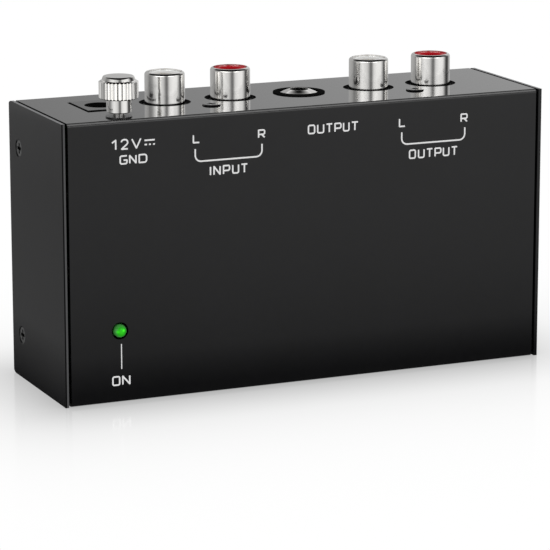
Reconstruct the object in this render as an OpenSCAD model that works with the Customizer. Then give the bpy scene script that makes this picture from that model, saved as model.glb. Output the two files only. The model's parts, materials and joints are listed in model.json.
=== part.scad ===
// Phono preamp for a turntable: a small box in two bent sheet-steel shells.
// It stands on its plain long edge: sockets face up (+Z), the label face looks
// towards -Y and the back plate with the feet towards +Y.
// Millimetres. Lengths named _y are measured from the label face to the back,
// lengths named _z from the edge it stands on.

/* [Case] */
// Width over the end plates
case_w = 106; // [102:0.5:120]
// Depth from the label face to the back plate
case_d = 32.4; // [31:0.2:40]
// Height from the plain edge to the socket panel
case_h = 57.2; // [55:0.2:68]
// Thickness of both sheets
sheet_t = 0.7; // [0.6:0.1:1.0]
// Inside radius of the bends
bend_in_r = 0.1; // [0.1:0.05:0.5]
// Slit between the cover and each end plate
side_gap = 0.6; // [0.3:0.05:0.8]
// Gap between the cover's return flanges and the back plate
back_gap = 0.3; // [0.2:0.05:0.5]
// How far the back plate stops short of the panel's outside
back_inset = 1; // [0.8:0.1:1.2]
// Corner radius of the end plates at the back
corner_r = 2.1; // [1.2:0.1:2.6]

/* [Case screws] */
// Diameter of the countersink in the end plate
sink_d = 3.8; // [3.7:0.1:4]
// Diameter of a screw's flat head, which seats in the countersink
case_head_d = 3.4; // [3.2:0.1:3.6]
// Diameter of a screw's shank
case_shank_d = 2.4; // [2.2:0.1:2.5]
// Length of a screw's shank
case_shank_l = 4; // [3:0.5:6]
// Distance of the screws from the panel and from the plain edge
end_screw_z = 9.1; // [8:0.1:12]
// Distance of the screws from the back plate's outside
end_screw_back = 6.3; // [5.5:0.1:7]
// Width of the tapped tab behind each screw
tab_w = 8; // [6.5:0.5:9]

/* [Feet] */
// Diameter of a rubber foot
foot_d = 9; // [7:0.5:12]
// Height of a rubber foot
foot_h = 2; // [1.2:0.1:3]
// Distance of a foot's centre from the end of the case
foot_side = 10; // [8:0.5:20]
// Distance of a foot's centre from the long edges
foot_edge = 10; // [8:0.5:14]

/* [Circuit board] */
// Thickness of the board
board_t = 1.6; // [1.2:0.2:2]
// Height of the standoffs between the back plate and the board
standoff_h = 6.9; // [5:0.1:8]
// Diameter of a standoff
standoff_d = 5.5; // [4.5:0.1:6]
// Diameter of the board screws' shank
board_screw_d = 2.9; // [2.4:0.1:3.1]
// Diameter of the board screws' head
board_head_d = 5.5; // [5:0.1:6]
// Distance of the board's edge from the cover's inside, at the panel
board_top_gap = 1.4; // [1:0.1:2]
// Distance of the board's edge from the cover's inside, at the plain edge
board_bottom_gap = 1.7; // [1:0.1:3]
// Distance of the board's ends from the ends of the cover
board_side_gap = 2.7; // [2:0.1:4]
// Height of the lower row of standoffs
low_row_z = 22; // [20:0.5:24]
// Distance of the upper row of standoffs from the panel
high_row_drop = 18.2; // [17.5:0.1:20]
// Distance of the standoffs from the board's ends
row_inset = 5; // [4:0.5:7]

/* [Phono sockets] */
// Outside diameter of a socket's shell
shell_d = 8.2; // [8:0.05:8.4]
// Wall of a socket's shell
shell_wall = 0.65; // [0.6:0.05:0.75]
// Rounding of the shell's rim
rim_r = 0.6; // [0.3:0.05:0.6]
// How far the shells stand above the panel
shell_h = 6.3; // [5:0.1:10]
// Distance between the two sockets of a pair
pair_pitch = 14.4; // [14:0.1:16]
// Distance of the input pair from the middle of the width, to the left
input_off = 17.6; // [16:0.1:18.5]
// Distance of the output pair from the middle of the width, to the right
output_off = 28.1; // [26:0.1:30]
// Height of the sockets' axes above the board
socket_axis_h = 6.7; // [6.4:0.1:7.5]
// Diameter of the holes in the panel
socket_hole_d = 10.6; // [9.6:0.1:11]
// Bore of the centre contact
contact_bore_d = 3.3; // [3.2:0.05:3.4]
// Outside diameter of the centre contact
contact_d = 3.9; // [3.8:0.05:4.1]
// How deep the coloured insulator sits below the rim
insulator_drop = 0.25; // [0.1:0.05:0.6]
// Length of the plastic block behind the panel
block_l = 9.6; // [9:0.1:12]
// How far the block reaches past the sockets' axes along the width
block_side = 5.8; // [5.2:0.1:6.2]
// Distance of the panel screw from the sockets' axes
panel_screw_off = 7.35; // [7:0.05:8]
// Diameter of the panel screw's head
panel_head_d = 3.7; // [3.2:0.1:4]
// Height of the panel screw's thin head
panel_head_h = 0.3; // [0.25:0.05:1]

/* [Headphone-size socket] */
// Distance of the socket from the middle of the width, to the right
phone_x = 5; // [4:0.1:6]
// Height of the socket's axis above the board
phone_axis_h = 6.7; // [6.4:0.1:9]
// Bore for the plug
phone_bore_d = 3.6; // [3.55:0.05:3.7]
// Outside diameter of the bright bush
bush_d = 8.1; // [7.4:0.1:8.4]
// How far the bush stands above the panel
bush_h = 0.7; // [0.6:0.05:1.2]
// Outside diameter of the black ring nut
ring_nut_d = 10.8; // [10:0.1:11.4]
// Height of the ring nut at the bush
ring_nut_h = 0.5; // [0.4:0.05:1]
// Height of the ring nut at its outer edge
ring_edge_h = 0.15; // [0.1:0.05:0.3]

/* [Power socket] */
// Distance of the socket from the middle of the width, to the left
power_off = 38.5; // [38:0.1:39]
// Width of its body
power_w = 9; // [8.8:0.1:9.4]
// Height of its body above the board
power_h = 11.2; // [10.8:0.1:11.6]
// Length of its body
power_l = 14.2; // [13:0.1:14.6]
// How far its face stands proud of the panel
power_proud = 0.2; // [0.1:0.05:0.5]
// Diameter of its hole
power_bore_d = 6.4; // [5.8:0.1:6.5]
// Height of the hole's axis above the board
power_axis_h = 5.9; // [5.2:0.1:6.2]
// Diameter of its centre pin
power_pin_d = 2.1; // [2:0.1:2.5]

/* [Ground terminal] */
// Distance of the terminal from the middle of the width, to the left
ground_off = 39.6; // [39:0.1:40]
// Place of the terminal behind the label face
ground_y = 3.7; // [3.7:0.1:4]
// Diameter of the knurled head
knurl_d = 7.95; // [7.4:0.05:9]
// Height of the knurled band
knurl_h = 3.4; // [2.6:0.1:4.5]
// Number of flutes in the knurl
flutes = 32; // [24:2:40]
// Diameter of the neck that clamps the wire
neck_d = 5; // [4.4:0.1:5.2]
// Length of the neck
neck_l = 2.75; // [2:0.05:4]
// Diameter of the screw's thread
ground_shank_d = 2.9; // [2.7:0.05:3]
// Diameter of the waist that holds the washer captive
waist_d = 2.4; // [2:0.1:2.5]
// How far the screw goes up when it is undone
ground_lift = 3; // [2:0.5:4]
// Outside diameter of the black washer
washer_d = 5.3; // [5:0.1:5.3]
// Thickness of the washer
washer_t = 0.2; // [0.15:0.05:0.6]

/* [Lamp] */
// Distance of the lamp from the middle of the width, to the left
lamp_off = 41.3; // [40:0.1:42]
// Height of the lamp
lamp_z = 14.7; // [14:0.1:16]
// Diameter of the lamp's lens
lamp_d = 3; // [2.8:0.1:3.1]
// How far the lens stands proud of the label face
lamp_proud = 0.9; // [0.5:0.1:1.4]

/* [Hidden] */
$fn = 48;
eps = 0.01;
over = 1;                                      // how far a cut runs past a face

// clearances
fit = 0.05;                                    // radial, a piece pressed or slid into its bore
loose = 0.35;                                  // around a piece that passes through sheet
tab_gap = 0.1;                                 // between an end plate and a tapped tab
rest_gap = 0.05;                               // between the washer and the panel at rest

// case
bend_r = sheet_t + bend_in_r;                  // outside of the bends
panel_in_z = case_h - sheet_t;                 // inside of the socket panel
back_in_y = case_d - sheet_t;                  // inside of the back plate
flange_y = back_in_y - back_gap;               // outside of the cover's return flanges
cover_w = case_w - 2 * (sheet_t + side_gap);
tab_x = case_w / 2 - sheet_t - tab_gap;        // outside of the tapped tabs
flange_w = end_screw_z + tab_w / 2 + 0.5;      // width of the return flanges
screw_y = case_d - end_screw_back;
screw_rows = [end_screw_z, case_h - end_screw_z];
tab_l = end_screw_back - sheet_t - back_gap + case_shank_d + 1;
tap_h = 0.9;                                   // height of the collar round a tapped hole
sink_land = case_shank_d / 2;                  // radius where the countersink's cone ends
sink_depth = (sink_d - case_head_d) / 2 - fit; // how deep a head's face lies in the end plate
sides = [-1, 1];

// places along the width, from the middle of the case
input_x = -input_off;
output_x = output_off;
power_x = -power_off;
ground_x = -ground_off;
lamp_x = -lamp_off;

// the part's origin: middle of its footprint, on the surface it stands on
face_y = -(case_d + foot_h - lamp_proud) / 2;

// board
board_back_y = back_in_y - standoff_h;
board_y = board_back_y - board_t;              // component side
board_w = cover_w - 2 * board_side_gap;
board_low_z = sheet_t + board_bottom_gap;
board_high_z = panel_in_z - board_top_gap;
row_x = board_w / 2 - row_inset;
row_z = [low_row_z, case_h - high_row_drop];
board_head_h = 1.8;
lead_out = 1.2;                                // how far leads stand out of the board's back
lead_d = 0.6;
lead_in = 0.5;                                 // how far a lead runs into what it carries
pin_d = 1;

// phono sockets
socket_y = board_y - socket_axis_h;
rim_z = case_h + shell_h;
shell_seat = 6;                                // how deep a shell sits in its block
shell_low_z = panel_in_z - shell_seat;
shell_in_d = shell_d - 2 * shell_wall;
block_low_z = panel_in_z - block_l;
tail_z = block_low_z - 0.8;                    // middle of the contacts' tails
tail_t = 0.5;
ground_pin_z = shell_low_z + 1.4;
socket_x = [for (c = [input_x, output_x]) [for (s = sides) c + s * pair_pitch / 2]];
panel_screw_y = socket_y - panel_screw_off;
panel_shank_d = 2.4;
panel_shank_l = 5;
boss_d = panel_shank_d + 3.2;
block_top = 6;                                 // block above the sockets' axes
contact_floor = 2;                             // wall behind a contact's bore
contact_drop = 0.6;                            // contact's end below the insulator's face
mouth_bevel = 0.35;                            // lead-in of the insulator's hole

// headphone-size socket
phone_y = board_y - phone_axis_h;
phone_l = 15;
phone_well_d = phone_bore_d + 1;               // clear space behind the bush
phone_w = 12.4;
phone_low_z = panel_in_z - phone_l;
spring_up = 4;                                 // side springs above the body's underside
spring_low_z = phone_low_z + spring_up;
phone_pin_up = 1;                              // middle pin above the body's underside
phone_pin_z = phone_low_z + phone_pin_up;
bush_seat = 2.4;
shoulder_r = 0.45;                             // rounding of the bush's shoulder
lead_in_depth = 0.45;                          // depth of the bush's lead-in
spring_t = 0.3;
spring_x = phone_bore_d / 2 + 0.3;             // inner face of the contact springs
spring_l = 8;
spring_w = 1.6;

// power socket
power_y = board_y - power_axis_h;
power_face_z = case_h + power_proud;
power_low_z = power_face_z - power_l;
power_spring_up = 5;                           // side spring above the body's underside
power_spring_z = power_low_z + power_spring_up;
power_tail_up = 6;                             // the spring's tail above it
power_tail_z = power_low_z + power_tail_up;
power_wall = 3;                                // wall behind the hole
power_pin_drop = 2;                            // tip of the pin below the face
power_spring_w = 1.8;

// ground terminal
flute_depth = 0.28;
neck_low_z = case_h + 1;                       // underside of the neck, above the waist
band_low_z = neck_low_z + neck_l;
band_high_z = band_low_z + knurl_h;
crown_h = 1.1;
crown_d = knurl_d * 0.84;
crown_top_d = crown_d - 0.55;
washer_low_z = case_h + rest_gap;
washer_high_z = washer_low_z + washer_t;
ground_nut_h = 4.5;
ground_nut_d = 5;
tag_t = 0.4;
tag_w = 2.2;
nut_high_z = panel_in_z - tag_t;
nut_low_z = nut_high_z - ground_nut_h;
ground_shank_low_z = nut_low_z - 1.5;
tag_reach = 6.5;
tag_drop = 5;
wire_d = 1.3;
wire_x = ground_x + tag_reach + tag_t + wire_d / 2;
wire_z = power_low_z - 5.2;
wire_bend = 3;
wire_lap = 3;                                  // how far the wire lies along the tag's tail

// lamp
lamp_l = 4.3;                                  // lens in front of its own flange
lamp_flange_d = lamp_d + 0.8;
lamp_flange_t = 1;
lamp_flange_y = lamp_l - lamp_proud;           // front of the lens's flange
lamp_back_y = lamp_flange_y + lamp_flange_t;
lamp_pitch = 1.27;
spacer_d = lamp_flange_d + 0.8;

// parts on the board: [x, z, ...]
can_places = [[-24, 34, 8, 12], [-12, 34, 8, 12], [15, 34, 6.3, 11], [25, 34, 6.3, 11],
    [-31, 12, 8, 15]];
film_places = [[-2, 24], [8, 24], [18, 24], [28, 24]];
film_size = [7.2, 2.6, 6.5];
film_pitch = 5;
film_corner = 0.6;
chip_places = [[-13, 15], [12, 13]];
chip_size = [9.3, 6.3, 3.3];
chip_pitch = 2.54;
chip_span = 7.62;
chip_stand = 0.5;                              // gap under a chip
leg_w = 1.4;
leg_t = 0.25;
regulator_place = [-22, 20];
regulator_d = 4.8;
regulator_h = 4.7;
regulator_stand = 2;                           // gap under the regulator
regulator_flat = 1.3;                          // its flat side, from the middle
resistor_first_x = -8;                         // row along the board's lower edge
resistor_row_z = 6.2;
resistor_row_step = 8.4;
resistor_column_z = 11.5;                      // column at the row's right end
resistor_column_step = 4;
resistor_places = concat(
    [for (k = [0:5]) [resistor_first_x + resistor_row_step * k, resistor_row_z]],
    [for (k = [0:2]) [resistor_first_x + resistor_row_step * 5,
        resistor_column_z + resistor_column_step * k]]);
resistor_span = 7.2;
resistor_d = 1.9;
resistor_l = 5;

function pair(p, s) = [[p[0] - s / 2, p[1]], [p[0] + s / 2, p[1]]];
function spread(lists) = [for (l = lists) for (v = l) v];
chip_legs = spread([for (p = chip_places) [for (k = [-1.5:1:1.5]) for (s = sides)
    [p[0] + k * chip_pitch, p[1] + s * chip_span / 2]]]);
regulator_legs = [for (k = [-1:1]) [regulator_place[0] + k * lamp_pitch, regulator_place[1]]];
fine_holes = spread([
    chip_legs, regulator_legs,
    spread([for (p = can_places) pair(p, p[2] * 0.4)]),
    spread([for (p = film_places) pair(p, film_pitch)]),
    spread([for (p = resistor_places) pair(p, resistor_span)]),
    pair([lamp_x, lamp_z], 2 * lamp_pitch)]);
phone_tails = [[phone_x - spring_x - spring_t / 2, spring_low_z],
    [phone_x + spring_x + spring_t / 2, spring_low_z],
    [phone_x, phone_pin_z]];
power_tails = [[power_x, power_low_z - 0.6], [power_x, power_tail_z]];
pin_holes = spread([
    [for (pair_x = socket_x) for (x = pair_x) [x, tail_z]],
    [for (pair_x = socket_x) for (x = pair_x) [x, ground_pin_z]],
    phone_tails, power_tails, [[wire_x, wire_z]]]);

// ---------- helpers ----------

// puts what is measured from the label face at its place in the part's frame
module placed() translate([0, face_y, 0]) children();

// an outline in Y and Z, extruded along the width about the middle
module along_x(length) {
    translate([-length / 2, 0, 0]) rotate([90, 0, 90]) linear_extrude(length) children();
}

// a rectangle with round corners, from the origin
module round_rect(size, r) {
    translate([r, 0]) square([size[0] - 2 * r, size[1]]);
    translate([0, r]) square([size[0], size[1] - 2 * r]);
    for (x = [r, size[0] - r], y = [r, size[1] - r]) translate([x, y]) circle(r);
}

// a frame for what stands on the board: x along the width, y up, z away from the board
module on_board(p) translate([p[0], board_y, p[1]]) rotate([90, 0, 0]) children();

// a cylinder along +Y
module rod_y(d, length) rotate([-90, 0, 0]) cylinder(d = d, h = length);

// a cylinder along +X, about its middle
module rod_x(d, length) rotate([0, 90, 0]) cylinder(d = d, h = length, center = true);

// a cross recess from z = 0 up
module cross_recess(length, width, depth) {
    for (a = [0, 90]) rotate(a) translate([-length / 2, -width / 2, 0]) cube([length, width, depth]);
}

// a flat-headed screw that seats in a countersink: face at z = 0, shank along -Z
module flat_screw(head_d, shank_d, shank_l) {
    cone_h = (head_d - shank_d) / 2;
    difference() {
        rotate_extrude() polygon([[0, 0], [head_d / 2, 0], [shank_d / 2, -cone_h],
            [shank_d / 2, -shank_l], [0, -shank_l]]);
        translate([0, 0, -cone_h * 0.8]) cross_recess(head_d * 0.62, head_d * 0.16, cone_h);
    }
}

// a screw with a low domed head and a cross recess: shank along -Z, head from z = 0 up
module pan_screw(head_d, head_h, shank_d, shank_l) {
    edge = head_h * 0.6;
    difference() {
        union() {
            translate([0, 0, -shank_l]) cylinder(d = shank_d, h = shank_l + eps);
            rotate_extrude() intersection() {
                union() {
                    square([head_d / 2 - edge, head_h]);
                    square([head_d / 2, head_h - edge]);
                    translate([head_d / 2 - edge, head_h - edge]) circle(edge);
                }
                square([head_d, head_h]);
            }
        }
        translate([0, 0, head_h * 0.4]) cross_recess(head_d * 0.5, head_d * 0.14, head_h);
    }
}

// a lead that drops from height h above the board through it
module board_lead(p, h) {
    on_board(p) translate([0, 0, -board_t - lead_out]) cylinder(d = lead_d, h = board_t + lead_out + h);
}

// a sheet strip with one bend: outer corner at the origin, legs along -X and -Y
module bent_strip(leg_x, leg_y) {
    inner_r = bend_r - sheet_t;
    difference() {
        union() {
            translate([-leg_x, -leg_y]) square([leg_x - bend_r, leg_y]);
            translate([-leg_x, -leg_y]) square([leg_x, leg_y - bend_r]);
            translate([-bend_r, -bend_r]) circle(bend_r);
        }
        translate([-leg_x - over, -leg_y - over]) square([leg_x + over - bend_r, leg_y + over - sheet_t]);
        translate([-leg_x - over, -leg_y - over]) square([leg_x + over - sheet_t, leg_y + over - bend_r]);
        translate([-bend_r, -bend_r]) circle(inner_r);
    }
}

// ---------- case ----------

// section of the cover: label face, socket panel, plain edge and their return flanges
module cover_section() {
    difference() {
        round_rect([flange_y, case_h], bend_r);
        translate([sheet_t, sheet_t])
            round_rect([flange_y - 2 * sheet_t, case_h - 2 * sheet_t], bend_r - sheet_t);
        translate([flange_y - sheet_t - over, flange_w])
            square([sheet_t + 2 * over, case_h - 2 * flange_w]);
    }
}

// a tapped tab bent forward from the end of a return flange, at the +X end
module tapped_tab(z) {
    translate([tab_x, flange_y, z - tab_w / 2]) linear_extrude(tab_w)
        bent_strip(tab_x - cover_w / 2 + 3, tab_l);
    translate([tab_x - sheet_t - tap_h / 2, screw_y, z]) rod_x(case_shank_d + 1.6, tap_h + 2 * eps);
}

module cover_shell() placed() color([0.12, 0.12, 0.13]) difference() {
    union() {
        along_x(cover_w) cover_section();
        for (s = [0, 1]) mirror([s, 0, 0]) for (z = screw_rows) tapped_tab(z);
    }
    for (s = sides) for (z = screw_rows) translate([s * tab_x, screw_y, z])
        rod_x(case_shank_d + 2 * fit, 2 * (sheet_t + tap_h + over));
    translate([0, 0, panel_in_z - over]) linear_extrude(sheet_t + 2 * over) {
        for (pair_x = socket_x) for (x = pair_x) translate([x, socket_y]) circle(d = socket_hole_d);
        for (x = [input_x, output_x]) translate([x, panel_screw_y]) circle(d = panel_shank_d + loose);
        translate([phone_x, phone_y]) circle(d = bush_d + loose);
        translate([power_x - power_w / 2 - loose, board_y - power_h - loose])
            square([power_w + 2 * loose, power_h + 2 * loose]);
        translate([ground_x, ground_y]) circle(d = ground_shank_d + 2 * loose);
    }
    translate([lamp_x, -over, lamp_z]) rod_y(lamp_d + 1.5 * loose, sheet_t + 2 * over);
}

// plan of the base: left end plate, back plate and right end plate
module base_plan() {
    inner_r = bend_r - sheet_t;
    difference() {
        translate([-case_w / 2, -bend_r]) round_rect([case_w, case_d + bend_r], bend_r);
        translate([-case_w / 2 + sheet_t, -2 * bend_r])
            round_rect([case_w - 2 * sheet_t, back_in_y + 2 * bend_r], inner_r);
        translate([-case_w / 2 - over, -bend_r - over]) square([case_w + 2 * over, bend_r + over]);
    }
}

// side view of the base: full-height ends, back plate stopping short of the edges
module base_side() {
    square([case_d - corner_r, case_h]);
    translate([0, back_inset]) square([case_d, case_h - 2 * back_inset]);
    for (z = [corner_r, case_h - corner_r]) translate([case_d - corner_r, z]) circle(corner_r);
}

module base_shell() placed() color([0.13, 0.13, 0.14]) difference() {
    intersection() {
        linear_extrude(case_h) base_plan();
        along_x(case_w + 2 * over) base_side();
    }
    for (s = sides) for (z = screw_rows) translate([s * case_w / 2, screw_y, z]) rotate([0, s * 90, 0]) {
        translate([0, 0, -sheet_t - over]) cylinder(d = case_shank_d + loose, h = sheet_t + 2 * over);
        translate([0, 0, -sink_d / 2 + sink_land]) cylinder(d1 = 2 * sink_land, d2 = sink_d + 2 * eps,
            h = sink_d / 2 - sink_land + eps);
    }
}

module case_screws() placed() color([0.1, 0.1, 0.1]) {
    for (s = sides) for (z = screw_rows) translate([s * (case_w / 2 - sink_depth), screw_y, z])
        rotate([0, s * 90, 0]) flat_screw(case_head_d, case_shank_d, case_shank_l);
}

module rubber_feet() placed() color([0.08, 0.08, 0.08]) {
    foot_edge_r = foot_h * 0.5;
    for (s = sides) for (z = [foot_edge, case_h - foot_edge])
        translate([s * (case_w / 2 - foot_side), case_d, z]) rotate([-90, 0, 0]) rotate_extrude() {
            square([foot_d / 2 - foot_edge_r, foot_h]);
            square([foot_d / 2, foot_h - foot_edge_r]);
            translate([foot_d / 2 - foot_edge_r, foot_h - foot_edge_r]) circle(foot_edge_r);
        }
}

// ---------- circuit board ----------

module circuit_board() placed() color([0.05, 0.3, 0.14]) difference() {
    translate([-board_w / 2, board_y, board_low_z]) cube([board_w, board_t, board_high_z - board_low_z]);
    for (s = sides) for (z = row_z) translate([s * row_x, board_y - over, z])
        rod_y(board_screw_d + loose, board_t + 2 * over);
    for (p = fine_holes) translate([p[0], board_y - over, p[1]])
        rod_y(lead_d + 2 * fit, board_t + 2 * over);
    for (p = pin_holes) translate([p[0], board_y - over, p[1]])
        rod_y(wire_d + 2 * fit, board_t + 2 * over);
}

module board_standoffs() placed() color([0.75, 0.75, 0.77]) {
    for (s = sides) for (z = row_z) translate([s * row_x, board_back_y, z]) difference() {
        rod_y(standoff_d, standoff_h);
        translate([0, -over, 0]) rod_y(board_screw_d + 2 * fit, standoff_h);
    }
}

module board_screws() placed() color([0.8, 0.8, 0.82]) {
    for (s = sides) for (z = row_z) translate([s * row_x, board_y, z]) rotate([90, 0, 0])
        pan_screw(board_head_d, board_head_h, board_screw_d, board_t + standoff_h - over - 1);
}

// ---------- phono sockets ----------

// the plastic block behind a pair, with a lug for the panel screw
module socket_block(middle_x, pair_x) placed() color([0.09, 0.09, 0.1]) difference() {
    union() {
        translate([middle_x - pair_pitch / 2 - block_side, socket_y - block_top, block_low_z])
            cube([pair_pitch + 2 * block_side, board_y - socket_y + block_top, block_l]);
        translate([middle_x - boss_d / 2, panel_screw_y, panel_in_z - panel_shank_l - 1])
            cube([boss_d, socket_y - panel_screw_y, panel_shank_l + 1]);
        translate([middle_x, panel_screw_y, panel_in_z - panel_shank_l - 1])
            cylinder(d = boss_d, h = panel_shank_l + 1);
    }
    for (x = pair_x) translate([x, socket_y, 0]) {
        translate([0, 0, shell_low_z]) cylinder(d = shell_d + 2 * fit, h = shell_seat + over);
        translate([0, 0, block_low_z + contact_floor]) cylinder(d = shell_in_d, h = block_l);
        translate([0, 0, block_low_z - over]) cylinder(d = pin_d + 2 * fit, h = block_l);
        translate([0, 0, ground_pin_z]) rod_y(pin_d + 2 * fit, socket_axis_h + over);
    }
    translate([middle_x, panel_screw_y, panel_in_z - panel_shank_l])
        cylinder(d = panel_shank_d + 2 * fit, h = panel_shank_l + over);
}

// a turned shell with a rounded rim, and its ground pin down to the board
module socket_shell(x) placed() color([0.82, 0.83, 0.85]) {
    translate([x, socket_y, 0]) {
        translate([0, 0, shell_low_z]) rotate_extrude($fn = 96) intersection() {
            top = rim_z - shell_low_z;
            union() {
                square([shell_d / 2, top - rim_r]);
                square([shell_d / 2 - rim_r, top]);
                translate([shell_d / 2 - rim_r, top - rim_r]) circle(rim_r);
            }
            translate([shell_in_d / 2, 0]) square([shell_wall, top]);
        }
        translate([0, shell_d / 2 - shell_wall / 2, ground_pin_z])
            rod_y(pin_d, board_back_y + lead_out - socket_y - shell_d / 2 + shell_wall / 2);
    }
}

// the coloured insulator inside a shell, with a lead-in round the contact
module socket_insulator(x, tint) placed() color(tint) {
    low = block_low_z + contact_floor;
    top = rim_z - insulator_drop - low;
    mouth = contact_d / 2 + mouth_bevel;
    translate([x, socket_y, low]) rotate_extrude($fn = 96)
        polygon([[contact_d / 2 + fit, 0], [shell_in_d / 2 - fit, 0], [shell_in_d / 2 - fit, top],
            [mouth, top], [contact_d / 2 + fit, top - mouth_bevel]]);
}

// the centre contacts of a pair: tube, stem and tail through the board
module socket_contacts(pair_x) placed() color([0.85, 0.7, 0.35]) {
    low = block_low_z + contact_floor;
    for (x = pair_x) translate([x, socket_y, 0]) {
        translate([0, 0, low]) difference() {
            cylinder(d = contact_d, h = rim_z - insulator_drop - contact_drop - low);
            translate([0, 0, over]) cylinder(d = contact_bore_d, h = rim_z - low);
        }
        translate([0, 0, tail_z]) cylinder(d = pin_d, h = low - tail_z + eps);
        translate([-pin_d / 2, -pin_d / 2, tail_z - tail_t / 2])
            cube([pin_d, board_back_y + lead_out - socket_y + pin_d / 2, tail_t]);
    }
}

module input_block() socket_block(input_x, socket_x[0]);
module input_shell_left() socket_shell(socket_x[0][0]);
module input_shell_right() socket_shell(socket_x[0][1]);
module input_insulator_left() socket_insulator(socket_x[0][0], [0.92, 0.92, 0.9]);
module input_insulator_right() socket_insulator(socket_x[0][1], [0.75, 0.04, 0.08]);
module input_contacts() socket_contacts(socket_x[0]);
module output_block() socket_block(output_x, socket_x[1]);
module output_shell_left() socket_shell(socket_x[1][0]);
module output_shell_right() socket_shell(socket_x[1][1]);
module output_insulator_left() socket_insulator(socket_x[1][0], [0.92, 0.92, 0.9]);
module output_insulator_right() socket_insulator(socket_x[1][1], [0.75, 0.04, 0.08]);
module output_contacts() socket_contacts(socket_x[1]);

module panel_screws() placed() color([0.1, 0.1, 0.1]) {
    for (x = [input_x, output_x]) translate([x, panel_screw_y, case_h])
        pan_screw(panel_head_d, panel_head_h, panel_shank_d, sheet_t + panel_shank_l - 1);
}

// ---------- headphone-size socket ----------

module phone_body() placed() color([0.09, 0.09, 0.1]) difference() {
    translate([phone_x - phone_w / 2, phone_y - phone_w / 2, phone_low_z])
        cube([phone_w, board_y - phone_y + phone_w / 2, phone_l]);
    translate([phone_x, phone_y, 0]) {
        translate([0, 0, panel_in_z - bush_seat]) cylinder(d = bush_d + 2 * fit, h = bush_seat + over);
        translate([0, 0, phone_low_z + 1.5]) cylinder(d = phone_well_d, h = phone_l);
    }
    // side pockets for the contact springs, open towards the board for their tails
    for (s = sides) translate([phone_x + s * (spring_x + spring_t / 2), 0, spring_low_z]) {
        translate([-spring_t, phone_y - spring_w / 2 - fit, -spring_w / 2 - fit])
            cube([2 * spring_t, spring_w + 2 * fit, spring_l + 2 * fit]);
        translate([-spring_t, phone_y - fit, -pin_d / 2 - fit])
            cube([2 * spring_t, board_y - phone_y + over, pin_d + 2 * fit]);
    }
    translate([phone_x, phone_y, phone_low_z - over]) cylinder(d = pin_d + 2 * fit, h = phone_l / 2);
    translate([phone_x, phone_y, phone_pin_z]) translate([-pin_d / 2 - fit, 0, -tail_t / 2 - fit])
        cube([pin_d + 2 * fit, board_y - phone_y + over, tail_t + 2 * fit]);
}

// the bright bush: a tube with a rounded shoulder and a lead-in to the bore
module phone_bush() placed() color([0.85, 0.85, 0.87]) {
    low = panel_in_z - bush_seat;
    top = case_h + bush_h - low;
    translate([phone_x, phone_y, low]) rotate_extrude($fn = 96) difference() {
        union() {
            square([bush_d / 2, top - shoulder_r]);
            square([bush_d / 2 - shoulder_r, top]);
            translate([bush_d / 2 - shoulder_r, top - shoulder_r]) circle(shoulder_r);
        }
        translate([0, -over]) square([phone_bore_d / 2, top + 2 * over]);
        translate([0, top - lead_in_depth]) polygon([[0, 0], [phone_bore_d / 2, 0],
            [phone_bore_d / 2 + lead_in_depth + over, lead_in_depth + over],
            [0, lead_in_depth + over]]);
    }
}

// the black ring round it, sloping down to a thin outer edge
module phone_ring_nut() placed() color([0.06, 0.06, 0.06]) {
    inner_r = bush_d / 2 + fit;
    outer_r = ring_nut_d / 2;
    crest_r = inner_r + ring_nut_h * 0.6;
    translate([phone_x, phone_y, case_h]) rotate_extrude($fn = 96)
        polygon([[inner_r, 0], [outer_r, 0], [outer_r, ring_edge_h],
            [(outer_r + crest_r) / 2, (ring_edge_h + ring_nut_h) / 2 + 0.05],
            [crest_r, ring_nut_h], [inner_r, ring_nut_h]]);
}

module phone_springs() placed() color([0.85, 0.7, 0.35]) {
    for (s = sides) translate([phone_x + s * (spring_x + spring_t / 2), 0, spring_low_z]) {
        translate([-spring_t / 2, phone_y - spring_w / 2, -spring_w / 2])
            cube([spring_t, spring_w, spring_l]);
        translate([-spring_t / 2, phone_y, -pin_d / 2])
            cube([spring_t, board_back_y + lead_out - phone_y, pin_d]);
    }
    translate([phone_x, phone_y, phone_pin_z - tail_t / 2]) cylinder(d = pin_d, h = 2);
    translate([phone_x - pin_d / 2, phone_y, phone_pin_z - tail_t / 2])
        cube([pin_d, board_back_y + lead_out - phone_y, tail_t]);
}

// ---------- power socket ----------

module power_body() placed() color([0.09, 0.09, 0.1]) difference() {
    translate([power_x - power_w / 2, board_y - power_h, power_low_z]) cube([power_w, power_h, power_l]);
    translate([power_x, power_y, power_low_z + power_wall])
        cylinder(d = power_bore_d, h = power_l);
    translate([power_x, power_y, power_low_z - over]) cylinder(d = power_pin_d + 2 * fit, h = power_l);
    // slot for the side spring and its tail
    translate([power_x - power_spring_w / 2 - fit, power_y, power_spring_z])
        cube([power_spring_w + 2 * fit, power_bore_d / 2 + 2 * spring_t + fit, 5]);
    translate([power_x - pin_d / 2 - fit, power_y, power_tail_z - tail_t / 2 - fit])
        cube([pin_d + 2 * fit, power_axis_h + over, tail_t + 2 * fit]);
}

module power_pin() placed() color([0.85, 0.85, 0.87]) {
    tip_z = power_face_z - power_pin_drop;
    tip_r = power_pin_d / 2 - 0.3;
    translate([power_x, power_y, power_low_z - 0.6]) {
        rotate_extrude() polygon([[0, 0], [power_pin_d / 2, 0],
            [power_pin_d / 2, tip_z - power_low_z + 0.1], [tip_r, tip_z - power_low_z + 0.6],
            [0, tip_z - power_low_z + 0.6]]);
        translate([-pin_d / 2, 0, -tail_t / 2])
            cube([pin_d, board_back_y + lead_out - power_y, tail_t]);
    }
}

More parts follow.
